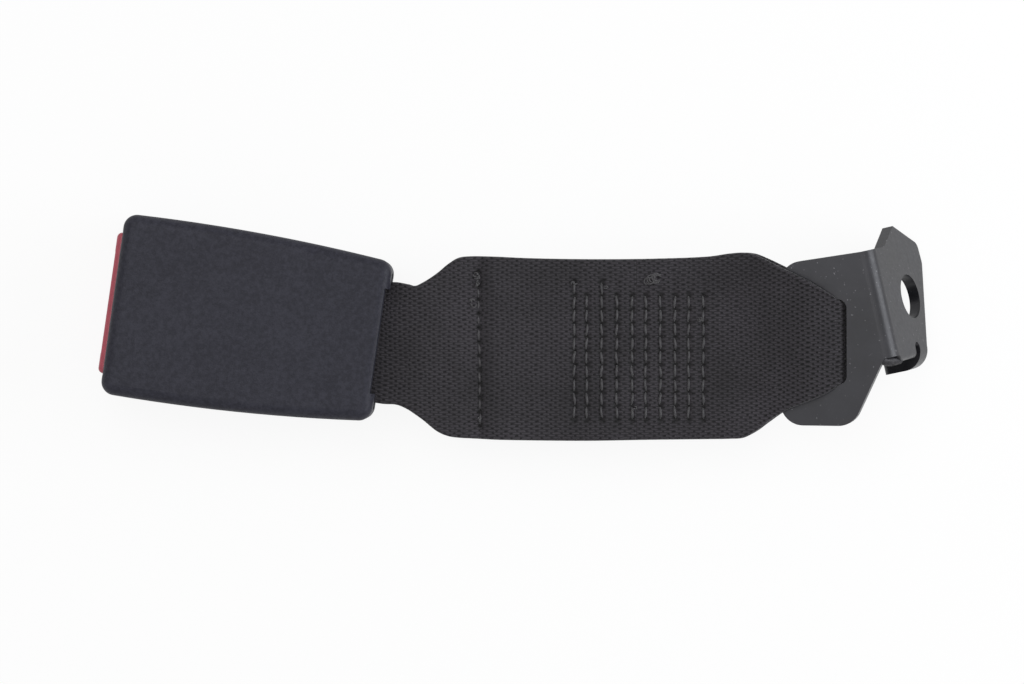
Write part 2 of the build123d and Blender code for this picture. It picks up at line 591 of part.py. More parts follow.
# ---------------------------------------------------------------- ejector
with BuildPart() as ejector:
    with BuildSketch(Plane.XY.offset(FLOOR_TOP + SLIDE_GAP / 2)):
        with Locations((EJECTOR_FRONT, 0)):
            Rectangle(EJECTOR_ARM_LENGTH + EJECTOR_CROSS_LENGTH, CHANNEL_WIDTH,
                      align=(Align.MIN, Align.CENTER))
            Rectangle(EJECTOR_ARM_LENGTH, EJECTOR_GAP, align=(Align.MIN, Align.CENTER), mode=Mode.SUBTRACT)
    extrude(amount=TONGUE_ROOM_HEIGHT - SLIDE_GAP)
    with BuildSketch(Plane.YZ.offset(EJECTOR_FRONT + EJECTOR_ARM_LENGTH + EJECTOR_CROSS_LENGTH)):
        with Locations((0, (FLOOR_TOP + BASE_BOTTOM) / 2)):
            Circle(EJECTOR_SPRING_RADIUS + EJECTOR_POCKET_GAP)
    extrude(amount=-EJECTOR_POCKET, mode=Mode.SUBTRACT)
    noses = ejector.edges().filter_by(Axis.Z).group_by(Axis.X)[0]
    fillet(noses, EJECTOR_NOSE_RADIUS)

# ---------------------------------------------------------------- springs
spring_y = Vector(0, BUTTON_SPRING_Y, 0)
spring_start = Vector(LEG_REAR, 0, BUTTON_SPRING_Z)
with BuildPart() as button_spring_left:
    add(coil_spring(BUTTON_SPRING_RADIUS, BUTTON_SPRING_LENGTH, BUTTON_SPRING_TURNS,
                    Plane(origin=spring_start + spring_y, x_dir=(0, 1, 0), z_dir=(1, 0, 0))))
with BuildPart() as button_spring_right:
    add(coil_spring(BUTTON_SPRING_RADIUS, BUTTON_SPRING_LENGTH, BUTTON_SPRING_TURNS,
                    Plane(origin=spring_start - spring_y, x_dir=(0, 1, 0), z_dir=(1, 0, 0))))
EJECTOR_SPRING_START = EJECTOR_FRONT + EJECTOR_ARM_LENGTH + EJECTOR_CROSS_LENGTH - EJECTOR_POCKET
with BuildPart() as ejector_spring:
    add(coil_spring(EJECTOR_SPRING_RADIUS, SEAT_X - EJECTOR_SPRING_START, EJECTOR_SPRING_TURNS,
                    Plane(origin=(EJECTOR_SPRING_START, 0, (FLOOR_TOP + BASE_BOTTOM) / 2),
                          x_dir=(0, 1, 0), z_dir=(1, 0, 0))))
with BuildPart() as latch_spring:
    add(coil_spring(LATCH_SPRING_RADIUS, LATCH_BOTTOM - COVER_WALL, LATCH_SPRING_TURNS,
                    Plane.XY.offset(COVER_WALL).move(Location((LATCH_SPRING_X, 0, 0)))))

# ---------------------------------------------------------------- webbing round the buckle's bar
BAR_LOOP_INNER = STEEL / 2 + LOOP_GAP
BAR_LOOP_OUTER = BAR_LOOP_INNER + WEBBING
with BuildPart() as buckle_loop:
    with BuildSketch(Plane.XZ.offset(-NARROW_WIDTH)):
        with BuildLine():
            left = SLOT_REAR - LOOP_GAP
            Line((FLEX_X + LOOP_OVERRUN, SPLIT_Z + WEBBING), (REAR_X, SPLIT_Z + WEBBING))
            Line((REAR_X, SPLIT_Z + WEBBING), (BAR_REAR, SPLIT_Z + BAR_LOOP_OUTER))
            Line((BAR_REAR, SPLIT_Z + BAR_LOOP_OUTER), (left, SPLIT_Z + BAR_LOOP_OUTER))
            ThreePointArc((left, SPLIT_Z + BAR_LOOP_OUTER), (left - BAR_LOOP_OUTER, SPLIT_Z),
                          (left, SPLIT_Z - BAR_LOOP_OUTER))
            Line((left, SPLIT_Z - BAR_LOOP_OUTER), (BAR_REAR, SPLIT_Z - BAR_LOOP_OUTER))
            Line((BAR_REAR, SPLIT_Z - BAR_LOOP_OUTER), (REAR_X, SPLIT_Z - WEBBING))
            Line((REAR_X, SPLIT_Z - WEBBING), (FLEX_X + LOOP_OVERRUN, SPLIT_Z - WEBBING))
            Line((FLEX_X + LOOP_OVERRUN, SPLIT_Z - WEBBING), (FLEX_X + LOOP_OVERRUN, SPLIT_Z + WEBBING))
        make_face()
        with BuildLine():
            Line((REAR_X - LOOP_SPLIT, SPLIT_Z), (BAR_REAR + LOOP_GAP, SPLIT_Z + BAR_LOOP_INNER))
            Line((BAR_REAR + LOOP_GAP, SPLIT_Z + BAR_LOOP_INNER), (left, SPLIT_Z + BAR_LOOP_INNER))
            ThreePointArc((left, SPLIT_Z + BAR_LOOP_INNER), (left - BAR_LOOP_INNER, SPLIT_Z),
                          (left, SPLIT_Z - BAR_LOOP_INNER))
            Line((left, SPLIT_Z - BAR_LOOP_INNER), (BAR_REAR + LOOP_GAP, SPLIT_Z - BAR_LOOP_INNER))
            Line((BAR_REAR + LOOP_GAP, SPLIT_Z - BAR_LOOP_INNER), (REAR_X - LOOP_SPLIT, SPLIT_Z))
        make_face(mode=Mode.SUBTRACT)
    extrude(amount=2 * NARROW_WIDTH)
    end_side = FLEX_GAP / 2
    yaw = radians(STRAP_YAW)
    end_x = FLEX_X - end_side * cos(yaw)
    end_y = -end_side * sin(yaw)
    half = NARROW_WIDTH / 2
    with BuildSketch(Plane.XY):
        with BuildLine():
            Polyline((STRAP_PLATE_FRONT, BAR_WEBBING_WIDTH / 2), (BAR_REAR, BAR_WEBBING_WIDTH / 2),
                     (end_x - half * sin(yaw), end_y + half * cos(yaw)),
                     (end_x + half * sin(yaw), end_y - half * cos(yaw)),
                     (BAR_REAR, -BAR_WEBBING_WIDTH / 2), (STRAP_PLATE_FRONT, -BAR_WEBBING_WIDTH / 2),
                     close=True)
        make_face()
    extrude(amount=BUCKLE_THICKNESS, mode=Mode.INTERSECT)
    fillet(buckle_loop.faces().sort_by(Axis((0, 0, 0), strap_along))[-1].edges().group_by(SortBy.LENGTH)[-1],
           WEBBING - RUNNING_GAP)

# ---------------------------------------------------------------- sewn strap
with BuildPart() as strap_top_layer:
    with BuildSketch(strap_side.offset(-WEBBING_WIDTH)):
        with BuildLine():
            Line((FLEX_GAP / 2, 0), (STRAP_LENGTH - FLEX_GAP / 2, 0))
            CenterArc((STRAP_LENGTH - FLEX_GAP / 2 - WEBBING, 0), WEBBING, 0, 90)
            Line((STRAP_LENGTH - FLEX_GAP / 2 - WEBBING, WEBBING), (FLEX_GAP / 2 + WEBBING, WEBBING))
            CenterArc((FLEX_GAP / 2 + WEBBING, 0), WEBBING, 90, 90)
        make_face()
    extrude(amount=2 * WEBBING_WIDTH)
    with BuildSketch(strap_plan):
        add(strap_outline())
    extrude(amount=2 * WEBBING, both=True, mode=Mode.INTERSECT)
with BuildPart() as strap_middle_layer:
    with BuildSketch(strap_side.offset(-WEBBING_WIDTH)):
        with BuildLine():
            Line((FLEX_GAP / 2, 0), (STRAP_LENGTH - FLEX_GAP / 2, 0))
            CenterArc((STRAP_LENGTH - FLEX_GAP / 2 - WEBBING, 0), WEBBING, 0, -90)
            Line((STRAP_LENGTH - FLEX_GAP / 2 - WEBBING, -WEBBING), (FLEX_GAP / 2 + WEBBING, -WEBBING))
            CenterArc((FLEX_GAP / 2 + WEBBING, 0), WEBBING, 180, 90)
        make_face()
    extrude(amount=2 * WEBBING_WIDTH)
    with BuildSketch(strap_plan):
        add(strap_outline())
    extrude(amount=2 * WEBBING, both=True, mode=Mode.INTERSECT)
with BuildPart() as strap_end_layer:
    with BuildSketch(strap_plan.offset(-2 * WEBBING)):
        with Locations((OVERLAP_START, STRAP_SHIFT)):
            Rectangle(OVERLAP_END - OVERLAP_START, WEBBING_WIDTH, align=(Align.MIN, Align.CENTER))
    extrude(amount=WEBBING)

# ---------------------------------------------------------------- stitching
with BuildPart() as box_stitching:
    with BuildSketch(strap_plan.offset(WEBBING)):
        with Locations(*[(STITCH_FIRST + n * STITCH_PITCH, STRAP_SHIFT) for n in range(STITCH_COLUMNS)]):
            Rectangle(THREAD_WIDTH, STITCH_LENGTH)
    extrude(amount=THREAD_HEIGHT)
with BuildPart() as line_stitching:
    with BuildSketch(strap_plan.offset(WEBBING)):
        with Locations((LINE_STITCH_X, STRAP_SHIFT)):
            Rectangle(THREAD_WIDTH, LINE_STITCH_LENGTH)
    extrude(amount=THREAD_HEIGHT)

# ---------------------------------------------------------------- webbing round the bracket's bar
EYE_INNER = SHEET / 2 + LOOP_GAP
EYE_OUTER = EYE_INNER + WEBBING
EYE_END = LOOP_REACH - 2 * LOOP_GAP - EYE_OUTER
with BuildPart() as anchor_loop:
    with BuildSketch(loop_side.offset(-WEBBING_WIDTH)):
        with BuildLine():
            CenterArc((FLEX_GAP / 2 + WEBBING, 0), WEBBING, 90, 180)
            Line((FLEX_GAP / 2 + WEBBING, -WEBBING), (LOOP_TAIL, -EYE_OUTER))
            Line((LOOP_TAIL, -EYE_OUTER), (EYE_END, -EYE_OUTER))
            ThreePointArc((EYE_END, -EYE_OUTER), (EYE_END + EYE_OUTER, 0), (EYE_END, EYE_OUTER))
            Line((EYE_END, EYE_OUTER), (LOOP_TAIL, EYE_OUTER))
            Line((LOOP_TAIL, EYE_OUTER), (FLEX_GAP / 2 + WEBBING, WEBBING))
        make_face()
        with BuildLine():
            Line((FLEX_GAP + 3 * WEBBING, 0), (LOOP_TAIL - LOOP_GAP, -EYE_INNER))
            Line((LOOP_TAIL - LOOP_GAP, -EYE_INNER), (EYE_END, -EYE_INNER))
            ThreePointArc((EYE_END, -EYE_INNER), (EYE_END + EYE_INNER, 0), (EYE_END, EYE_INNER))
            Line((EYE_END, EYE_INNER), (LOOP_TAIL - LOOP_GAP, EYE_INNER))
            Line((LOOP_TAIL - LOOP_GAP, EYE_INNER), (FLEX_GAP + 3 * WEBBING, 0))
        make_face(mode=Mode.SUBTRACT)
    extrude(amount=2 * WEBBING_WIDTH)
    with BuildSketch(loop_plan):
        with BuildLine():
            right_side = Spline((0, WEBBING_WIDTH / 2 + STRAP_SHIFT / 2), (LOOP_TAIL, EYE_SHOULDER_WIDTH / 2),
                                (LOOP_TAIL + EYE_NECK_FROM_TAIL, EYE_NECK_WIDTH / 2),
                                (LOOP_REACH, LOOP_TIP_WIDTH / 2),
                                tangents=[(1, -EYE_START_SLOPE), (1, -EYE_TIP_SLOPE)])
            Line(right_side @ 1, (LOOP_REACH, -LOOP_TIP_WIDTH / 2))
            mirror(right_side, about=Plane.XZ)
            Line((0, -WEBBING_WIDTH / 2 - STRAP_SHIFT / 2), right_side @ 0)
        make_face()
    extrude(amount=2 * EYE_OUTER, both=True, mode=Mode.INTERSECT)
    # the edges stand over the plate, and only the middle goes down through the slot
    passing = ANCHOR_SLOT_LENGTH - ANCHOR_SLOT_CORNER
    with BuildSketch(loop_plan):
        with Locations((LOOP_TAIL + ANCHOR_BAR_WIDTH, ANCHOR_SLOT_SHIFT)):
            Rectangle(2 * ANCHOR_SLOT_WIDTH, 2 * WEBBING_WIDTH, align=(Align.MIN, Align.CENTER))
            Rectangle(2 * ANCHOR_SLOT_WIDTH, passing, align=(Align.MIN, Align.CENTER), mode=Mode.SUBTRACT)
    extrude(amount=EYE_INNER, both=True, mode=Mode.SUBTRACT)

# ---------------------------------------------------------------- anchor bracket
half_neck = NECK_WIDTH / 2
bend_top = loop_plan.to_local_coords(plate_plan.from_local_coords(Vector(0, half_neck, 0)))
bend_low = loop_plan.to_local_coords(plate_plan.from_local_coords(Vector(0, -half_neck, 0)))
with BuildPart() as anchor_bracket:
    # plate with the bar and the slot that the webbing goes round
    with BuildSketch(loop_plan.offset(SHEET / 2)) as plate:
        with BuildLine():
            Polyline((bend_top.X, bend_top.Y), (LOOP_TAIL, PLATE_TOP_REACH), (LOOP_TAIL, -PLATE_BOTTOM_REACH),
                     (PLATE_HEEL, -PLATE_BOTTOM_REACH), (bend_low.X, bend_low.Y), close=True)
        make_face()
        fillet([corner(plate, LOOP_TAIL, PLATE_TOP_REACH), corner(plate, LOOP_TAIL, -PLATE_BOTTOM_REACH),
                corner(plate, PLATE_HEEL, -PLATE_BOTTOM_REACH)], PLATE_CORNER)
        with Locations((LOOP_REACH - ANCHOR_SLOT_WIDTH / 2, ANCHOR_SLOT_SHIFT)):
            RectangleRounded(ANCHOR_SLOT_WIDTH, ANCHOR_SLOT_LENGTH, ANCHOR_SLOT_CORNER, mode=Mode.SUBTRACT)
    extrude(amount=-SHEET)
    # bend
    with BuildSketch(plate_side):
        with BuildLine():
            outer = CenterArc((0, -BEND_OUTER_RADIUS), BEND_OUTER_RADIUS, 90, -BEND_ANGLE)
            inner = CenterArc((0, -BEND_OUTER_RADIUS), BEND_INNER_RADIUS, 90, -BEND_ANGLE)
            Line(outer @ 0, inner @ 0)
            Line(outer @ 1, inner @ 1)
        make_face()
    extrude(amount=half_neck, both=True)
    # leaf with the bolt hole
    with BuildSketch(leaf_plan) as leaf:
        with BuildLine():
            Polyline((0, half_neck), (LEAF_SHOULDER, half_neck), (LEAF_APEX_LENGTH, LEAF_APEX_REACH),
                     (LEAF_TIP_LENGTH, LEAF_TIP_REACH), (LEAF_LENGTH, LEAF_TIP_LOW),
                     (FLANGE_END, -FLANGE_BEND_LINE), (FLANGE_START, -FLANGE_BEND_LINE),
                     (FLANGE_START, -SLIT_DEPTH), (SLIT_START, -SLIT_DEPTH), (SLIT_START, -TAB_REACH),
                     (TAB_START, -TAB_REACH), (0, -half_neck), close=True)
        make_face()
        fillet([corner(leaf, LEAF_TIP_LENGTH, LEAF_TIP_REACH), corner(leaf, LEAF_LENGTH, LEAF_TIP_LOW)],
               LEAF_CORNER)
        fillet([corner(leaf, FLANGE_START, -SLIT_DEPTH), corner(leaf, SLIT_START, -SLIT_DEPTH)],
               (FLANGE_START - SLIT_START) / 2 - RUNNING_GAP)
        with Locations((HOLE_FROM_BEND, HOLE_SHIFT)):
            Circle(BOLT_HOLE_RADIUS, mode=Mode.SUBTRACT)
    extrude(amount=-SHEET)
    # flange turned back along the lower side of the leaf
    with BuildSketch(Plane(origin=leaf_start + leaf_along * FLANGE_START, x_dir=plate_across,
                           z_dir=leaf_along)):
        with BuildLine():
            turn_depth = FLANGE_INNER_RADIUS + SHEET
            outer = CenterArc((-FLANGE_BEND_LINE, -turn_depth), turn_depth, 90, 90)
            inner = CenterArc((-FLANGE_BEND_LINE, -turn_depth), FLANGE_INNER_RADIUS, 90, 90)
            Line(outer @ 0, inner @ 0)
            Polyline(outer @ 1, (-FLANGE_BEND_LINE - turn_depth, -FLANGE_LENGTH),
                     (-FLANGE_BEND_LINE - FLANGE_INNER_RADIUS, -FLANGE_LENGTH), inner @ 1)
        make_face()
    extrude(amount=FLANGE_END - FLANGE_START)
    flange_end = leaf_start - leaf_out * FLANGE_LENGTH - plate_across * (FLANGE_BEND_LINE + turn_depth)
    free_corners = anchor_bracket.edges().filter_by(Axis((0, 0, 0), plate_across))
    fillet(free_corners.sort_by_distance(flange_end + leaf_along * FLANGE_END)[:2], FLANGE_CORNER)
    tab_edge = leaf_plan.from_local_coords(Vector((TAB_START + SLIT_START) / 2, -TAB_REACH, 0))
    fillet(anchor_bracket.edges().sort_by_distance(tab_edge)[0], TAB_ROLL)

# ---------------------------------------------------------------- files
PIECES = {
    "back_cover": back_cover,
    "front_cover": front_cover,
    "frame": frame,
    "latch_pivot_pin": latch_pivot_pin,
    "tongue_guide": tongue_guide,
    "press_button": press_button,
    "button_spring_left": button_spring_left,
    "button_spring_right": button_spring_right,
    "latch": latch,
    "latch_spring": latch_spring,
    "ejector": ejector,
    "ejector_spring": ejector_spring,
    "buckle_loop": buckle_loop,
    "strap_top_layer": strap_top_layer,
    "strap_middle_layer": strap_middle_layer,
    "strap_end_layer": strap_end_layer,
    "box_stitching": box_stitching,
    "line_stitching": line_stitching,
    "anchor_loop": anchor_loop,
    "anchor_bracket": anchor_bracket,
}
for node, piece in PIECES.items():
    piece.part.label = node
    export_step(piece.part, f"parts/{node}.step")
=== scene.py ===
import json
import math
import random

import bpy
import numpy as np
from mathutils import Matrix, Vector


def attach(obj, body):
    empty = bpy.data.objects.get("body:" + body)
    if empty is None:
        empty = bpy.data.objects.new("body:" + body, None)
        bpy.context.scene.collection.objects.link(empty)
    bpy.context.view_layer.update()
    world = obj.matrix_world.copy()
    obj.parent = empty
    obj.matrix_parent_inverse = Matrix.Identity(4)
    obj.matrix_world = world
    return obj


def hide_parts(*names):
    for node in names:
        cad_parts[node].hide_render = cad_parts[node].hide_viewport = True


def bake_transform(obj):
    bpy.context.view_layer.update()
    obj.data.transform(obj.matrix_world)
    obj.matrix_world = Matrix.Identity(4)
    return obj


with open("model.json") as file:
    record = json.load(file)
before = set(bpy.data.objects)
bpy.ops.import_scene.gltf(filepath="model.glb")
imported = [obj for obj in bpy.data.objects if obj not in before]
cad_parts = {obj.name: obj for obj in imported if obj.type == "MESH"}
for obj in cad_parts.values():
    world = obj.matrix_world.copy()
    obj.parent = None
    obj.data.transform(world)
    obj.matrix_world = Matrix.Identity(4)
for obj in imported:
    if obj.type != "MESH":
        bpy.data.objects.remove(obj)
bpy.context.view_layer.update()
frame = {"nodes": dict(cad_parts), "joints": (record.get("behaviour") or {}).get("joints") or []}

# ---------------------------------------------------------------- camera
IMAGE_WIDTH = 1024
CAMERA_HEIGHT = 1.0
FOCAL_PIXELS = 3695.0
SENSOR_WIDTH = 36.0
CLIP_START = 0.01
BUCKLE_TURN = math.radians(8.15)
VIEW_CENTRE = Vector((0.0701, 0.0048, 0.0))


def make_camera():
    """The photograph's view: from straight above, turned so that the strap lies as in the picture."""
    data = bpy.data.cameras.new("photo_camera")
    camera = bpy.data.objects.new("photo_camera", data)
    bpy.context.scene.collection.objects.link(camera)
    data.sensor_fit = "HORIZONTAL"
    data.sensor_width = SENSOR_WIDTH
    data.lens = FOCAL_PIXELS / IMAGE_WIDTH * data.sensor_width
    data.clip_start = CLIP_START
    camera.matrix_world = (Matrix.Translation(VIEW_CENTRE + Vector((0, 0, CAMERA_HEIGHT)))
                           @ Matrix.Rotation(BUCKLE_TURN, 4, "Z"))
    bpy.context.scene.camera = camera


# ---------------------------------------------------------------- frames of the strap, in millimetres
MM = 0.001
JOINTS = {joint["name"]: joint for joint in frame["joints"]}
STRAP_START = np.array(JOINTS["strap_flex"]["pos_m"]) / MM
ANCHOR_START = np.array(JOINTS["bracket_flex"]["pos_m"]) / MM
STRAP_REACH = float(np.linalg.norm(ANCHOR_START - STRAP_START))
STRAP_ALONG = (ANCHOR_START - STRAP_START) / STRAP_REACH
STRAP_ACROSS = np.array(JOINTS["strap_flex"]["axis"], float)
STRAP_UP = np.cross(STRAP_ALONG, STRAP_ACROSS)
PLATE_TURN = math.radians(20.85)
PLATE_TILT = math.radians(16.0)
SLOT_SKEW = math.radians(12.7)
# stations along the strap between which its plane turns
MOUTH_BEND = (-14.0, -1.0)
BRACKET_BEND = (84.0, 100.0)


def turned(yaw, pitch):
    """Unit vectors along, across and up of a frame turned by yaw and then tipped nose-up."""
    level = math.cos(pitch)
    along = np.array([level * math.cos(yaw), level * math.sin(yaw), math.sin(pitch)])
    across = np.array([-math.sin(yaw), math.cos(yaw), 0.0])
    return along, across, np.cross(along, across)


PLATE_ALONG, PLATE_ACROSS, PLATE_UP = turned(PLATE_TURN, PLATE_TILT)
LOOP_ALONG = PLATE_ALONG * math.cos(SLOT_SKEW) - PLATE_ACROSS * math.sin(SLOT_SKEW)
LOOP_ACROSS = np.cross(PLATE_UP, LOOP_ALONG)


def smooth(value, low, high):
    """0 before low, 1 after high, and a soft step between."""
    share = np.clip((value - low) / (high - low), 0, 1)
    return share * share * (3 - 2 * share)


def strap_point(s, t, u):
    """Points s along, t across and u above the strap's middle plane, in the row frame. The plane
    bends inside the buckle's mouth and again where the strap meets the bracket."""
    s, t, u = (np.asarray(x, float)[..., None] for x in (s, t, u))
    in_buckle = (STRAP_START + s * np.array([1.0, 0, 0]) + t * np.array([0, 1.0, 0])
                 + u * np.array([0, 0, 1.0]))
    in_strap = STRAP_START + s * STRAP_ALONG + t * STRAP_ACROSS + u * STRAP_UP
    in_anchor = (ANCHOR_START + (s - STRAP_REACH) * LOOP_ALONG + t * LOOP_ACROSS
                 + u * PLATE_UP)
    to_strap = smooth(s, *MOUTH_BEND)
    to_anchor = smooth(s, *BRACKET_BEND)
    beyond_mouth = in_strap * (1 - to_anchor) + in_anchor * to_anchor
    return in_buckle * (1 - to_strap) + beyond_mouth * to_strap


# ---------------------------------------------------------------- mesh helpers
def resample(points, step):
    """A smooth curve (centripetal Catmull-Rom) through points, sampled about every step."""
    points = np.asarray(points, float)
    padded = np.vstack([2 * points[0] - points[1], points, 2 * points[-1] - points[-2]])
    out = []
    for a, b, c, d in zip(padded, padded[1:], padded[2:], padded[3:]):
        count = max(int(round(np.linalg.norm(c - b) / step)), 1)
        k = [0.0]
        for first, second in ((a, b), (b, c), (c, d)):
            k.append(k[-1] + max(np.linalg.norm(second - first), 1e-6) ** 0.5)
        x = np.linspace(k[1], k[2], count, endpoint=False)[:, None]
        ab = (k[1] - x) / k[1] * a + x / k[1] * b
        bc = (k[2] - x) / (k[2] - k[1]) * b + (x - k[1]) / (k[2] - k[1]) * c
        cd = (k[3] - x) / (k[3] - k[2]) * c + (x - k[2]) / (k[3] - k[2]) * d
        abc = (k[2] - x) / k[2] * ab + x / k[2] * bc
        bcd = (k[3] - x) / (k[3] - k[1]) * bc + (x - k[1]) / (k[3] - k[1]) * cd
        out.append((k[2] - x) / (k[2] - k[1]) * abc + (x - k[1]) / (k[2] - k[1]) * bcd)
    out.append(points[-1:])
    return np.vstack(out)


def ring_mesh(name, rings, attributes=None):
    """A closed tube through rings (count, points per ring, 3) in millimetres, with its ends capped."""
    rings = np.asarray(rings, float)
    count, around = rings.shape[:2]
    index = np.arange(count * around).reshape(count, around)
    beside = np.roll(index, -1, axis=1)
    quads = np.stack([index[:-1], beside[:-1], beside[1:], index[1:]], axis=-1).reshape(-1, 4)
    faces = quads.tolist() + [index[0][::-1].tolist(), index[-1].tolist()]
    mesh = bpy.data.meshes.new(name)
    mesh.from_pydata((rings.reshape(-1, 3) * MM).tolist(), [], faces)
    for key, values in (attributes or {}).items():
        layer = mesh.attributes.new(key, "FLOAT", "POINT")
        layer.data.foreach_set("value", np.asarray(values, np.float32).ravel())
    mesh.shade_smooth()
    mesh.validate()
    made = bpy.data.objects.new(name, mesh)
    bpy.context.scene.collection.objects.link(made)
    return made


def join(name, parts):
    """One mesh object out of several."""
    bpy.ops.object.select_all(action="DESELECT")
    for part in parts:
        part.select_set(True)
    bpy.context.view_layer.objects.active = parts[0]
    bpy.ops.object.join()
    parts[0].name = name
    parts[0].data.name = name
    return parts[0]


# ---------------------------------------------------------------- webbing
# thickness of the cloth, and the mesh across it
LAYER = 1.3
WEB_STEP = 0.42
WEB_COLUMNS = 112
UNDERSIDE_COLUMNS = WEB_COLUMNS // 4
EDGE_POINTS = 5
SELVEDGE_SWELL = 0.12
SELVEDGE_WIDTH = 1.2
OUTER_FACE = 0.3
# the weave
YARN_PITCH = 0.63
FLOAT_PITCH = 2.62
# where the stitches run: one line across, and a box of columns
STITCH_REACH = 3.67
LINE_FROM = (19.7, 19.5)
LINE_TO = (20.5, -21.5)
LINE_STITCHES = int(round((LINE_FROM[1] - LINE_TO[1]) / STITCH_REACH))
BOX_COLUMNS = (45.5, 48.8, 52.8, 56.8, 60.9, 64.5, 68.4, 72.3, 75.9, 79.8)
BOX_TOP, BOX_BOTTOM = 16.8, -19.4
BOX_ROWS = int(round((BOX_TOP - BOX_BOTTOM) / STITCH_REACH))
# only these columns have a stitch in the top row
FIRST_ROW_COLUMNS = (45.5, 52.8)
# how stitches dent the cloth
HOLE_DEPTH = 0.5
HOLE_SPREAD = 0.55
HOLE_REACH = 2.0
QUILT_DEPTH = 0.2
QUILT_WIDTH = 0.75
QUILT_MARGIN = 1.5
WAVE_HEIGHT = 0.05
# soft bulges of the cloth: (height, along, its spread, across, its spread)
BULGES = [(0.35, 23.5, 3.0, 16.5, 5.5), (0.2, 15.5, 3.0, -6.0, 8.0)]
# station at which both bands start
BAND_START = 62.0

# outline across the strap at stations along it: (station, lower edge, upper edge)
OUTLINE = [(-20, -15.8, 15.8), (-10, -15.8, 15.9), (-5, -16.0, 16.5), (-2, -16.0, 16.7),
           (1, -17.2, 16.2), (3, -18.5, 15.7), (5, -19.9, 16.5), (9, -23.1, 19.1), (12, -24.4, 21.6),
           (14.7, -24.8, 23.2), (18, -25.0, 23.6), (24, -25.3, 23.5), (33, -25.5, 23.1),
           (49, -25.6, 22.8), (66, -25.3, 22.9), (81.5, -25.1, 23.5), (86.5, -25.0, 24.2),
           (90.5, -24.7, 24.5), (93.5, -23.3, 24.2), (97, -20.7, 22.8), (101, -17.9, 20.9),
           (106, -15.6, 18.6), (110, -14.1, 16.5), (114, -12.1, 13.9), (116.5, -10.3, 12.0),
           (117.6, -9.8, 11.1), (119, -9.2, 10.4)]
OUTLINE_CURVE = resample(OUTLINE, 0.25)


def outline_at(s):
    """Lower and upper edge of the strap at stations s."""
    return (np.interp(s, OUTLINE_CURVE[:, 0], OUTLINE_CURVE[:, 1]),
            np.interp(s, OUTLINE_CURVE[:, 0], OUTLINE_CURVE[:, 2]))


# middle lines of the layers, (along, above), each running from the stitched box out and back
BUCKLE_PATH = [(62, 0.65), (50, 0.65), (41, 0.66), (36, 0.8), (31, 1.25), (27, 1.6), (24, 1.6),
               (22, 1.15), (20.4, 0.62), (18.8, 1.0), (16, 1.6), (12, 2.15), (8, 2.5), (4, 2.6),
               (0, 2.4), (-4, 2.2), (-9, 2.1), (-15, 2.05), (-16.5, 1.45), (-17.15, 0),
               (-16.5, -1.45), (-15, -2.05), (-9, -2.1), (-4, -2.2), (0, -2.35), (4, -2.4),
               (8, -2.2), (12, -1.8), (16, -1.3), (18.8, -0.85), (20.4, -0.62), (22, -0.85),
               (25, -1.1), (31, -0.95), (37, -0.7), (44, -0.65), (62, -0.65), (84, -0.65)]
ANCHOR_PATH = [(62, 0.65), (72, 0.65), (80, 0.68), (84, 1.05), (88, 1.85), (92, 2.35), (97, 2.45),
               (102, 2.75), (105, 3.15), (107.5, 3.4), (109.5, 3.3), (111.5, 2.95), (113.7, 2.35),
               (115.9, 1.3), (117.3, 0.1), (117.75, -0.9), (117.3, -1.95), (115.2, -2.45),
               (111, -2.4), (106, -2.35), (100.7, -2.3), (96, -2.15), (91, -2.0), (84, -1.95),
               (62, -1.95), (41, -1.95)]


def stitch_ends():
    """Where the needle went through: (along, across) of every end of a stitch."""
    ends = []
    for column in BOX_COLUMNS:
        first = 0 if column in FIRST_ROW_COLUMNS else 1
        ends += [(column, BOX_TOP - n * STITCH_REACH) for n in range(first, BOX_ROWS + 1)]
    for n in range(LINE_STITCHES + 1):
        share = n / LINE_STITCHES
        ends.append((LINE_FROM[0] + (LINE_TO[0] - LINE_FROM[0]) * share,
                     LINE_FROM[1] + (LINE_TO[1] - LINE_FROM[1]) * share))
    return np.array(ends)


NEEDLE_HOLES = stitch_ends()


def pulls(s, t):
    """For each needle hole, the points near it and how strongly it pulls them: 1 at its middle."""
    for along, across in NEEDLE_HOLES:
        near = (abs(s - along) < HOLE_REACH) & (abs(t - across) < HOLE_REACH)
        away = ((s - along) ** 2 + (t - across) ** 2)[near]
        yield near, np.exp(-away / HOLE_SPREAD)


def surface_lift(s, t):
    """How far the face of the webbing stands off the even layer: stitches pull it in, and the cloth
    between them stands a little proud."""
    lift = np.zeros_like(s)
    for near, pull in pulls(s, t):
        lift[near] -= HOLE_DEPTH * pull
    in_box = (smooth(t, BOX_BOTTOM - QUILT_MARGIN, BOX_BOTTOM)
              * (1 - smooth(t, BOX_TOP, BOX_TOP + QUILT_MARGIN)))
    for column in BOX_COLUMNS:
        lift -= QUILT_DEPTH * in_box * np.exp(-((s - column) / QUILT_WIDTH) ** 2)
    lift += WAVE_HEIGHT * np.sin(0.41 * s + 0.23 * t) * np.sin(0.29 * t - 0.13 * s + 1.0)
    for height, along, long_spread, across, side_spread in BULGES:
        lift += height * np.exp(-((s - along) / long_spread) ** 2 - ((t - across) / side_spread) ** 2)
    return lift


def needle_pull(s, t):
    """1 in a needle hole and 0 away from it."""
    deepest = np.zeros_like(s)
    for near, pull in pulls(s, t):
        deepest[near] = np.maximum(deepest[near], pull)
    return deepest


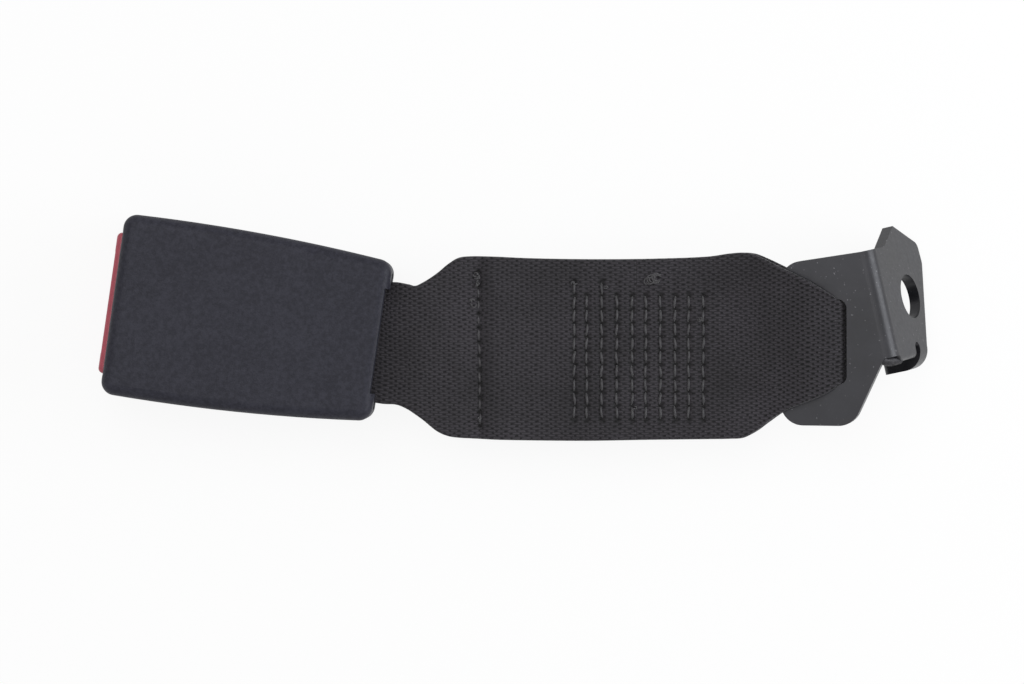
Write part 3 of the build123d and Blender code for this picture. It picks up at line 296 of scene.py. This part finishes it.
def web_band(name, path, start_s):
    """A layer of webbing that follows path, out and back, with rounded selvedges."""
    line = resample(path, WEB_STEP)
    ahead = np.gradient(line, axis=0)
    ahead /= np.linalg.norm(ahead, axis=1)[:, None]
    outward = np.stack([-ahead[:, 1], ahead[:, 0]], axis=1)
    if outward[0, 1] < 0:
        outward = -outward
    low, high = outline_at(line[:, 0])
    half = LAYER / 2
    share = np.linspace(0, 1, WEB_COLUMNS)
    bend = np.linspace(0, math.pi, EDGE_POINTS + 2)[1:-1]
    inner_share = np.linspace(1, 0, UNDERSIDE_COLUMNS)
    rings, stations, laterals = [], [], []
    for (s, u), normal, lo, hi in zip(line, outward, low, high):
        across = np.concatenate([
            lo + half + (hi - lo - 2 * half) * share,
            hi - half + half * np.sin(bend),
            lo + half + (hi - lo - 2 * half) * inner_share,
            lo + half - half * np.sin(bend)])
        off = np.concatenate([np.full(share.size, half), half * np.cos(bend),
                              np.full(inner_share.size, -half), -half * np.cos(bend)])
        # the selvedge is a little thicker than the cloth
        thick = (1 + SELVEDGE_SWELL * np.exp(-((across - lo) / SELVEDGE_WIDTH) ** 2)
                 + SELVEDGE_SWELL * np.exp(-((across - hi) / SELVEDGE_WIDTH) ** 2))
        stations.append(np.full(across.size, s))
        laterals.append(across)
        # along, across, above, whether on the outer face, and the face's direction
        rings.append(np.stack([s + normal[0] * off * thick, across, u + normal[1] * off * thick,
                               np.broadcast_to(off > OUTER_FACE * half, off.shape),
                               np.full(off.size, normal[0]), np.full(off.size, normal[1])], axis=1))
    rings, stations, laterals = np.array(rings), np.array(stations), np.array(laterals)
    lift = surface_lift(stations, laterals) * rings[..., 3]
    s = rings[..., 0] + rings[..., 4] * lift
    u = rings[..., 2] + rings[..., 5] * lift
    run = np.concatenate([[0], np.cumsum(np.linalg.norm(np.diff(line, axis=0), axis=1))])
    sign = 1.0 if line[1, 0] > line[0, 0] else -1.0
    along = np.broadcast_to((start_s + sign * run)[:, None], s.shape)
    points = strap_point(s, rings[..., 1], u)
    # the needle holes' mask, which the material turns into painted shade
    pull = needle_pull(stations, laterals) * rings[..., 3]
    return ring_mesh(name, points, {"web_s": along, "web_t": laterals, "web_pull": pull})


def make_webbing():
    """The two bands of the strap: one round the buckle's bar, one round the bracket's."""
    buckle_side = web_band("webbing_buckle_loop", BUCKLE_PATH, BAND_START)
    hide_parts("buckle_loop", "strap_middle_layer")
    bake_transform(buckle_side)
    anchor_side = web_band("webbing_anchor_loop", ANCHOR_PATH, BAND_START)
    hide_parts("strap_top_layer", "strap_end_layer", "anchor_loop")
    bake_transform(anchor_side)
    cloth = webbing_material()
    for piece in (buckle_side, anchor_side):
        piece.data.materials.append(cloth)


# ---------------------------------------------------------------- stitching
THREAD_RADIUS = 0.29
CURL_RADIUS = 0.16
STITCH_SEED = 11
STITCH_POINTS = 9
CURL_POINTS = 12
STITCH_INSET = 0.45
# how a stitch strays: slant and bow along the strap, shift across it
STITCH_SLANT = 0.22
STITCH_BOW = 0.12
STITCH_SHIFT = 0.15
# how deep its ends go, and how far it rises from there
STITCH_SINK = 0.62
STITCH_RISE = 0.68
# heights of the faces that the stitches lie on, in the box and along the line
TOP_FACE, UNDER_FACE = 1.3, -2.6
LINE_TOP, LINE_UNDER = 1.27, -1.27
# loose thread ends: (along, across, size, count)
BOX_CURLS = ((66.8, 17.4, 1.5, 9), (45.6, 16.4, 0.6, 2), (53.8, 15.5, 0.6, 2), (78.8, 6.6, 0.7, 3),
             (61.5, -17.0, 0.5, 2))
LINE_CURLS = ((19.4, 18.4, 0.8, 5), (19.8, 16.2, 0.7, 4), (18.4, 11.2, 0.8, 6), (20.4, -20.0, 0.5, 2))


def tube(name, path, radius, around=6):
    """A thread: a closed tube along points in the row frame, in millimetres, thinner at its ends."""
    path = np.asarray(path, float)
    ahead = np.gradient(path, axis=0)
    ahead /= np.linalg.norm(ahead, axis=1)[:, None] + 1e-9
    side = np.cross(ahead, STRAP_UP)
    side /= np.linalg.norm(side, axis=1)[:, None] + 1e-9
    lift = np.cross(side, ahead)
    angle = np.linspace(0, 2 * math.pi, around, endpoint=False)
    fade = np.sin(np.linspace(0.18, 0.82, len(path)) * math.pi) ** 0.35
    rings = (path[:, None, :]
             + radius * fade[:, None, None] * (np.cos(angle)[None, :, None] * side[:, None, :]
                                               + np.sin(angle)[None, :, None] * lift[:, None, :]))
    return ring_mesh(name, rings)


def stitch(a, b, face, rng):
    """One stitch between two needle holes, arched over the cloth. face is its height."""
    sign = 1 if face > 0 else -1
    share = np.linspace(0, 1, STITCH_POINTS)
    arch = np.sin(share * math.pi) ** 0.8
    slant = rng.uniform(-STITCH_SLANT, STITCH_SLANT)
    s = (a[0] + (b[0] - a[0]) * share + slant * (2 * share - 1)
         + rng.uniform(-STITCH_BOW, STITCH_BOW) * arch)
    t = a[1] + (b[1] - a[1]) * share + rng.uniform(-STITCH_SHIFT, STITCH_SHIFT)
    u = face + sign * (-STITCH_SINK + (STITCH_RISE + rng.uniform(-0.1, 0.06)) * arch)
    return tube("stitch", strap_point(s, t, u), THREAD_RADIUS * rng.uniform(0.9, 1.08))


def curl(s, t, u, size, rng):
    """A loose curl of thread end on the cloth."""
    turn = rng.uniform(0, 2 * math.pi)
    sweep = rng.uniform(2.0, 4.5)
    angle = turn + np.linspace(0, sweep, CURL_POINTS)
    spread = size * rng.uniform(0.55, 1.0)
    rise = 0.25 + 0.35 * np.sin(np.linspace(0, math.pi, CURL_POINTS)) * rng.uniform(0.5, 1.2)
    path = strap_point(s + spread * np.cos(angle), t + 0.8 * spread * np.sin(angle), u + rise)
    return tube("curl", path, CURL_RADIUS)


def make_stitching():
    """Stitches on both faces of the strap, and the loose ends of their thread."""
    rng = random.Random(STITCH_SEED)
    box, line = [], []
    for column in BOX_COLUMNS:
        for n in range(BOX_ROWS):
            if n == 0 and column not in FIRST_ROW_COLUMNS:
                continue
            a = (column, BOX_TOP - n * STITCH_REACH - STITCH_INSET)
            b = (column, BOX_TOP - (n + 1) * STITCH_REACH + STITCH_INSET)
            box.append(stitch(a, b, TOP_FACE, rng))
            box.append(stitch(a, b, UNDER_FACE, rng))
    for s, t, size, count in BOX_CURLS:
        for _ in range(count):
            box.append(curl(s + rng.uniform(-1, 1) * size, t + rng.uniform(-0.6, 0.6) * size, TOP_FACE,
                            size, rng))
    holes = NEEDLE_HOLES[-(LINE_STITCHES + 1):]
    for a, b in zip(holes, holes[1:]):
        a, b = (a[0], a[1] - STITCH_INSET), (b[0], b[1] + STITCH_INSET)
        line.append(stitch(a, b, LINE_TOP, rng))
        line.append(stitch(a, b, LINE_UNDER, rng))
    for s, t, size, count in LINE_CURLS:
        for _ in range(count):
            line.append(curl(s + rng.uniform(-0.5, 0.5) * size, t + rng.uniform(-1, 1) * size,
                             LINE_TOP + 0.3, size * 0.8, rng))
    yarn = thread_material()
    for name, parts, node in (("box_stitching_thread", box, "box_stitching"),
                              ("line_stitching_thread", line, "line_stitching")):
        made = join(name, parts)
        made.data.materials.append(yarn)
        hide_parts(node)
        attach(made, "strap")


# ---------------------------------------------------------------- materials
class Shader:
    """A material under construction: its nodes, its links and its Principled shader. In keyword names
    an underscore stands for the space in a socket's name."""

    def __init__(self, name, **settings):
        self.material = bpy.data.materials.new(name)
        self.material.use_nodes = True
        self.tree = self.material.node_tree
        self.surface = self.tree.nodes["Principled BSDF"]
        for key, value in settings.items():
            self.surface.inputs[key.replace("_", " ")].default_value = value

    def node(self, kind, **inputs):
        """A new node with its inputs fed by name."""
        made = self.tree.nodes.new(kind)
        for key, value in inputs.items():
            self.feed(made.inputs[key.replace("_", " ")], value)
        return made

    def feed(self, socket, value):
        """Links value to socket if it is another node's output, and otherwise sets it."""
        if isinstance(value, bpy.types.NodeSocket):
            self.tree.links.new(value, socket)
        else:
            socket.default_value = value

    def math(self, operation, *values):
        """The result of a math node."""
        made = self.tree.nodes.new("ShaderNodeMath")
        made.operation = operation
        for socket, value in zip(made.inputs, values):
            self.feed(socket, value)
        return made.outputs[0]

    def attribute(self, name):
        """A number that the mesh carries at its points."""
        made = self.tree.nodes.new("ShaderNodeAttribute")
        made.attribute_name = name
        return made.outputs["Fac"]

    def place(self, scale=(1.0, 1.0, 1.0)):
        """Object coordinates, stretched by scale."""
        where = self.tree.nodes.new("ShaderNodeTexCoord").outputs["Object"]
        made = self.tree.nodes.new("ShaderNodeMapping")
        made.inputs["Scale"].default_value = scale
        self.tree.links.new(where, made.inputs["Vector"])
        return made.outputs["Vector"]

    def noise(self, scale, vector=None, detail=3.0, roughness=0.55):
        """Noise about 0.5 at the object's points, or at vector."""
        made = self.node("ShaderNodeTexNoise", Scale=scale, Detail=detail, Roughness=roughness)
        self.tree.links.new(vector or self.place(), made.inputs["Vector"])
        return made.outputs["Fac"]

    def ramp(self, value, low, high, dark, light):
        """Colour that runs from dark to light as value runs from low to high."""
        made = self.tree.nodes.new("ShaderNodeValToRGB")
        made.color_ramp.elements[0].position = low
        made.color_ramp.elements[1].position = high
        made.color_ramp.elements[0].color = (*dark, 1.0)
        made.color_ramp.elements[1].color = (*light, 1.0)
        self.tree.links.new(value, made.inputs["Fac"])
        return made.outputs["Color"]

    def spread(self, value, low, high, first, second):
        """Runs from first to second as value runs from low to high, and stays there outside them."""
        made = self.node("ShaderNodeMapRange", Value=value, From_Min=low, From_Max=high, To_Min=first,
                         To_Max=second)
        return made.outputs["Result"]

    def bump(self, height, strength, distance, below=None):
        """A normal bent by height, over the bump below if there is one."""
        made = self.node("ShaderNodeBump", Strength=strength, Distance=distance, Height=height)
        if below is not None:
            self.tree.links.new(below, made.inputs["Normal"])
        return made.outputs["Normal"]

    def finish(self, **sockets):
        """Feeds the shader's sockets and gives the material."""
        for key, value in sockets.items():
            self.feed(self.surface.inputs[key.replace("_", " ")], value)
        return self.material


# size of a dip in the weave, as a share of its float and of its yarn
DIP_LENGTH = 0.19
DIP_WIDTH = 0.42
# stations between which the weave opens towards the bracket
OPEN_WEAVE = (92.0, 106.0)


def webbing_material():
    """Black polyester webbing: fine lengthwise yarns that float over two picks and dip under one, so
    the dips stand in staggered rows. Its colour holds painted shade: darker in the dips, at the yarns'
    edges and in the needle holes, lighter on the yarn crowns."""
    made = Shader("webbing_polyester", Specular_IOR_Level=0.2, Sheen_Weight=0.15, Sheen_Roughness=0.5)
    drift = made.math("SUBTRACT", made.noise(180.0, detail=2.0), 0.5)
    wander = made.math("SUBTRACT", made.noise(620.0, detail=2.0), 0.5)
    # along and across the cloth, with the small wandering of real yarns
    s = made.math("ADD", made.attribute("web_s"),
                  made.math("MULTIPLY_ADD", drift, 1.3, made.math("MULTIPLY", wander, 1.5)))
    t = made.math("ADD", made.attribute("web_t"),
                  made.math("MULTIPLY_ADD", drift, 0.5, made.math("MULTIPLY", wander, 0.4)))
    yarn = made.math("DIVIDE", t, YARN_PITCH)
    odd = made.math("MULTIPLY", made.math("FLOORED_MODULO", made.math("FLOOR", yarn), 2.0), 0.5)
    phase = made.math("ADD", made.math("DIVIDE", s, FLOAT_PITCH), odd)
    from_float = made.math("ABSOLUTE", made.math("SUBTRACT", made.math("FRACT", phase), 0.5))
    from_yarn = made.math("ABSOLUTE", made.math("SUBTRACT", made.math("FRACT", yarn), 0.5))
    # 0 at the middle of a dip, 1 clear of it
    past_along = made.math("DIVIDE", made.math("SUBTRACT", 0.5, from_float), DIP_LENGTH)
    past_across = made.math("DIVIDE", from_yarn, DIP_WIDTH)
    dip = made.math("SQRT", made.math("ADD", made.math("MULTIPLY", past_along, past_along),
                                      made.math("MULTIPLY", past_across, past_across)))
    # the dips are partly closed, except towards the bracket, where the weave opens
    closed = made.math("MULTIPLY", made.spread(made.attribute("web_s"), *OPEN_WEAVE, 0.22, 0.0),
                       made.spread(made.noise(420.0, detail=1.0), 0.35, 0.65, 0.5, 1.4))
    clear = made.spread(dip, 0.55, 1.15, closed, 1.0)
    crown = made.math("SUBTRACT", 1.0, made.math("MULTIPLY", made.math("POWER", from_yarn, 2.0), 2.4))
    height = made.math("MULTIPLY", clear, crown)
    where = made.tree.nodes.new("ShaderNodeCombineXYZ")
    made.feed(where.inputs["X"], made.math("MULTIPLY", s, 0.25))
    made.feed(where.inputs["Y"], made.math("MULTIPLY", t, 4.0))
    fibre = made.noise(2.2, vector=where.outputs["Vector"], detail=2.0)
    patchy = made.noise(60.0, detail=2.0)
    lit = made.math("MULTIPLY", height, made.spread(fibre, 0.3, 0.7, 0.5, 1.3))
    # painted shade: the colour runs from near black in the weave's dips and at the yarns' edges to
    # lighter on the yarn crowns
    cloth = made.ramp(lit, 0.0, 1.0, (0.002, 0.0018, 0.0024), (0.040, 0.036, 0.043))
    tint = made.tree.nodes.new("ShaderNodeMix")
    tint.data_type = "RGBA"
    tint.blend_type = "MULTIPLY"
    tint.inputs["Factor"].default_value = 1.0
    made.feed(tint.inputs[6], cloth)
    # painted shade in the needle holes, over a patchy random tone of the cloth
    patchy_tone_and_hole_shade = made.math("SUBTRACT", patchy, made.math("MULTIPLY", made.attribute("web_pull"), 0.95))
    made.feed(tint.inputs[7], made.ramp(patchy_tone_and_hole_shade, 0.0, 0.7, (0.25, 0.25, 0.25), (1.05, 1.05, 1.05)))
    fine = made.bump(fibre, 0.25, 0.0001)
    return made.finish(Base_Color=tint.outputs[2], Roughness=made.spread(height, 0.0, 1.0, 0.85, 0.48),
                       Normal=made.bump(height, 0.9, 0.00022, below=fine))


def thread_material():
    """Black sewing thread with a fine fibre."""
    made = Shader("black_thread", Specular_IOR_Level=0.4, Sheen_Weight=0.2)
    fibre = made.noise(2500.0, detail=2.0)
    colour = made.ramp(fibre, 0.3, 0.7, (0.018, 0.017, 0.019), (0.060, 0.057, 0.062))
    return made.finish(Base_Color=colour, Roughness=made.spread(fibre, 0.3, 0.7, 0.45, 0.65),
                       Normal=made.bump(fibre, 0.3, 0.0001))


def plastic_material(name, dark, light, roughness, grain_scale, grain_height, specular=0.4):
    """Moulded plastic with a fine spark-eroded grain and faint clouding."""
    made = Shader(name, Specular_IOR_Level=specular)
    grain = made.noise(grain_scale, detail=2.0, roughness=0.6)
    mottle = made.math("MULTIPLY_ADD", made.noise(45.0, detail=3.0), 0.2,
                       made.math("MULTIPLY", made.noise(900.0, detail=4.0, roughness=0.7), 0.8))
    return made.finish(Base_Color=made.ramp(mottle, 0.4, 0.6, dark, light),
                       Roughness=made.spread(grain, 0.3, 0.7, roughness - 0.06, roughness + 0.08),
                       Normal=made.bump(grain, 0.35, grain_height))


SPECK_COLOUR = (0.30, 0.30, 0.32)


def steel_material(name, dark, light, metallic, roughness, brush=(1.0, 1.0, 1.0), specular=0.5):
    """Steel, bare or coated, with fine scratches and small specks."""
    made = Shader(name, Metallic=metallic, Specular_IOR_Level=specular)
    where = made.place(brush)
    scratch = made.noise(900.0, vector=where, detail=3.0, roughness=0.7)
    cloud = made.noise(70.0, detail=4.0)
    speck = made.noise(1400.0, detail=1.0)
    tint = made.tree.nodes.new("ShaderNodeMix")
    tint.data_type = "RGBA"
    made.feed(tint.inputs["Factor"], made.spread(speck, 0.72, 0.76, 0.0, 0.35))
    made.feed(tint.inputs[6], made.ramp(cloud, 0.3, 0.72, dark, light))
    tint.inputs[7].default_value = (*SPECK_COLOUR, 1.0)
    rough = made.math("ADD", made.spread(scratch, 0.3, 0.7, -0.05, 0.06),
                      made.spread(cloud, 0.3, 0.7, roughness - 0.03, roughness + 0.05))
    return made.finish(Base_Color=tint.outputs[2], Roughness=rough,
                       Normal=made.bump(scratch, 0.08, 0.00005))


def dress_nodes():
    """Gives every carried-over CAD node its material."""
    cover = plastic_material("slate_plastic", (0.013, 0.013, 0.020), (0.026, 0.026, 0.037), 0.5,
                             2600.0, 0.00016, specular=0.2)
    button = plastic_material("red_plastic", (0.36, 0.060, 0.085), (0.43, 0.072, 0.100), 0.38,
                              1500.0, 0.00003)
    guide = plastic_material("grey_plastic", (0.10, 0.10, 0.11), (0.13, 0.13, 0.14), 0.5,
                             1800.0, 0.00004)
    frame_steel = steel_material("zinc_plated_steel", (0.45, 0.45, 0.46), (0.56, 0.56, 0.57), 1.0,
                                 0.34, brush=(1.0, 0.1, 1.0))
    spring = steel_material("spring_wire", (0.42, 0.41, 0.40), (0.52, 0.51, 0.50), 1.0, 0.28)
    bracket = steel_material("coated_steel", (0.012, 0.012, 0.015), (0.024, 0.024, 0.029), 0.3,
                             0.36, brush=(0.25, 1.0, 1.0))
    finish = {"back_cover": cover, "front_cover": cover, "press_button": button,
              "tongue_guide": guide, "ejector": guide, "frame": frame_steel, "latch": frame_steel,
              "latch_pivot_pin": frame_steel, "button_spring_left": spring,
              "button_spring_right": spring, "latch_spring": spring, "ejector_spring": spring,
              "anchor_bracket": bracket}
    # the webbing's and the stitches' nodes, which pieces of this script replace
    cloth_nodes = thread_material()
    for name, node in frame["nodes"].items():
        node.data.materials.clear()
        node.data.materials.append(finish.get(name, cloth_nodes))


# ---------------------------------------------------------------- rolled corner of the bracket
BEND_CORNER = np.array([167.44, 14.24, 28.97])
# the roll's path from the plate's lower corner into the leaf: along, across and up from the corner, and
# the roll's radius
ROLL_PATH = [(-2.0, 0.7, -1.5, 1.15), (-0.8, -0.1, -1.8, 1.25), (0.3, -0.75, -2.9, 1.35),
             (1.4, -1.0, -4.4, 1.35), (2.9, -1.2, -6.5, 1.15)]
ROLL_STEP = 0.25
ROLL_SEED = 23
ROLL_AROUND = 28
ROLL_ROUGHNESS = 0.07


def make_rolled_corner():
    """The rough roll that closes the inside of the bracket's bend beside the hook."""
    rng = np.random.default_rng(ROLL_SEED)
    path = resample(ROLL_PATH, ROLL_STEP)
    centre = (BEND_CORNER + path[:, :1] * PLATE_ALONG + path[:, 1:2] * PLATE_ACROSS
              + path[:, 2:3] * PLATE_UP)
    ahead = np.gradient(centre, axis=0)
    ahead /= np.linalg.norm(ahead, axis=1)[:, None]
    side = np.cross(ahead, PLATE_UP)
    side /= np.linalg.norm(side, axis=1)[:, None]
    lift = np.cross(side, ahead)
    angle = np.linspace(0, 2 * math.pi, ROLL_AROUND, endpoint=False)
    reach = path[:, 3:4] + rng.normal(0.0, ROLL_ROUGHNESS, (len(path), ROLL_AROUND))
    rings = (centre[:, None, :]
             + reach[..., None] * (np.cos(angle)[None, :, None] * side[:, None, :]
                                   + np.sin(angle)[None, :, None] * lift[:, None, :]))
    roll = ring_mesh("bracket_corner_roll", rings)
    torn = steel_material("torn_steel", (0.006, 0.006, 0.008), (0.030, 0.028, 0.034), 0.3, 0.5)
    roll.data.materials.append(torn)
    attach(roll, "anchor")


# ---------------------------------------------------------------- floor and lights
# strength of the world for rays that light the object, and for rays that see the background
AMBIENT = 0.5
BACKDROP = 1.0
FLOOR_HALF = 3.0
FLOOR_CELLS = 2
FLOOR_DROP = 0.0002
FLOOR_WHITE = 0.88
# share of plain white in what those background rays see of the floor; the rest keeps the shadow
FLOOR_GLOW = 0.9
# (name, place, aim, size, power, colour)
LAMPS = (("overhead", (-0.15, 0.25, 0.95), (0.07, 0.0, 0.0), (0.7, 0.7), 3.2, (1.0, 1.0, 1.0)),
         ("window", (0.75, 0.22, 0.35), (0.1, 0.01, 0.01), (0.6, 0.5), 4.2, (0.94, 0.97, 1.0)))


def background_rays(tree):
    """1 for the rays that see the background: from the camera, off gloss and through glass."""
    ray = tree.nodes.new("ShaderNodeLightPath")
    seen = ray.outputs["Is Camera Ray"]
    for kind in ("Is Glossy Ray", "Is Transmission Ray"):
        either = tree.nodes.new("ShaderNodeMath")
        either.operation = "MAXIMUM"
        tree.links.new(seen, either.inputs[0])
        tree.links.new(ray.outputs[kind], either.inputs[1])
        seen = either.outputs[0]
    return seen


def make_floor():
    """A plain white floor just below the object."""
    side = np.linspace(-FLOOR_HALF, FLOOR_HALF, FLOOR_CELLS + 1)
    points = [(x, y, -FLOOR_DROP) for y in side for x in side]
    row = FLOOR_CELLS + 1
    faces = [(y * row + x, y * row + x + 1, (y + 1) * row + x + 1, (y + 1) * row + x)
             for y in range(FLOOR_CELLS) for x in range(FLOOR_CELLS)]
    mesh = bpy.data.meshes.new("floor")
    mesh.from_pydata(points, [], faces)
    floor = bpy.data.objects.new("floor", mesh)
    bpy.context.scene.collection.objects.link(floor)
    paper = bpy.data.materials.new("white_paper")
    paper.use_nodes = True
    tree = paper.node_tree
    matt = tree.nodes["Principled BSDF"]
    matt.inputs["Base Color"].default_value = (FLOOR_WHITE, FLOOR_WHITE, FLOOR_WHITE, 1)
    matt.inputs["Roughness"].default_value = 0.9
    glow = tree.nodes.new("ShaderNodeEmission")
    share = tree.nodes.new("ShaderNodeMath")
    share.operation = "MULTIPLY"
    share.inputs[1].default_value = FLOOR_GLOW
    mix = tree.nodes.new("ShaderNodeMixShader")
    tree.links.new(background_rays(tree), share.inputs[0])
    tree.links.new(share.outputs[0], mix.inputs["Fac"])
    tree.links.new(matt.outputs[0], mix.inputs[1])
    tree.links.new(glow.outputs[0], mix.inputs[2])
    # seen from below, the floor is clear, so that it doesn't hide the underside
    clear = tree.nodes.new("ShaderNodeBsdfTransparent")
    facing = tree.nodes.new("ShaderNodeNewGeometry")
    below = tree.nodes.new("ShaderNodeMixShader")
    tree.links.new(facing.outputs["Backfacing"], below.inputs["Fac"])
    tree.links.new(mix.outputs[0], below.inputs[1])
    tree.links.new(clear.outputs[0], below.inputs[2])
    tree.links.new(below.outputs[0], tree.nodes["Material Output"].inputs["Surface"])
    mesh.materials.append(paper)


def make_world():
    """An even white studio: dimmer as a light than as a background."""
    world = bpy.data.worlds.new("studio")
    bpy.context.scene.world = world
    world.use_nodes = True
    tree = world.node_tree
    background = tree.nodes["Background"]
    background.inputs["Color"].default_value = (1, 1, 1, 1)
    level = tree.nodes.new("ShaderNodeMapRange")
    level.inputs["To Min"].default_value = AMBIENT
    level.inputs["To Max"].default_value = BACKDROP
    tree.links.new(background_rays(tree), level.inputs["Value"])
    tree.links.new(level.outputs["Result"], background.inputs["Strength"])


def make_light(name, place, aim, size, power, colour):
    """A soft rectangular lamp at place that points at aim."""
    data = bpy.data.lights.new(name, "AREA")
    data.shape = "RECTANGLE"
    data.size, data.size_y = size
    data.energy = power
    data.color = colour
    light = bpy.data.objects.new(name, data)
    bpy.context.scene.collection.objects.link(light)
    light.location = place
    light.rotation_euler = (Vector(aim) - Vector(place)).to_track_quat("-Z", "Y").to_euler()


make_camera()
make_world()
make_floor()
for lamp in LAMPS:
    make_light(*lamp)
make_webbing()
make_stitching()
make_rolled_corner()
dress_nodes()

bpy.context.scene.view_settings.view_transform = "Standard"
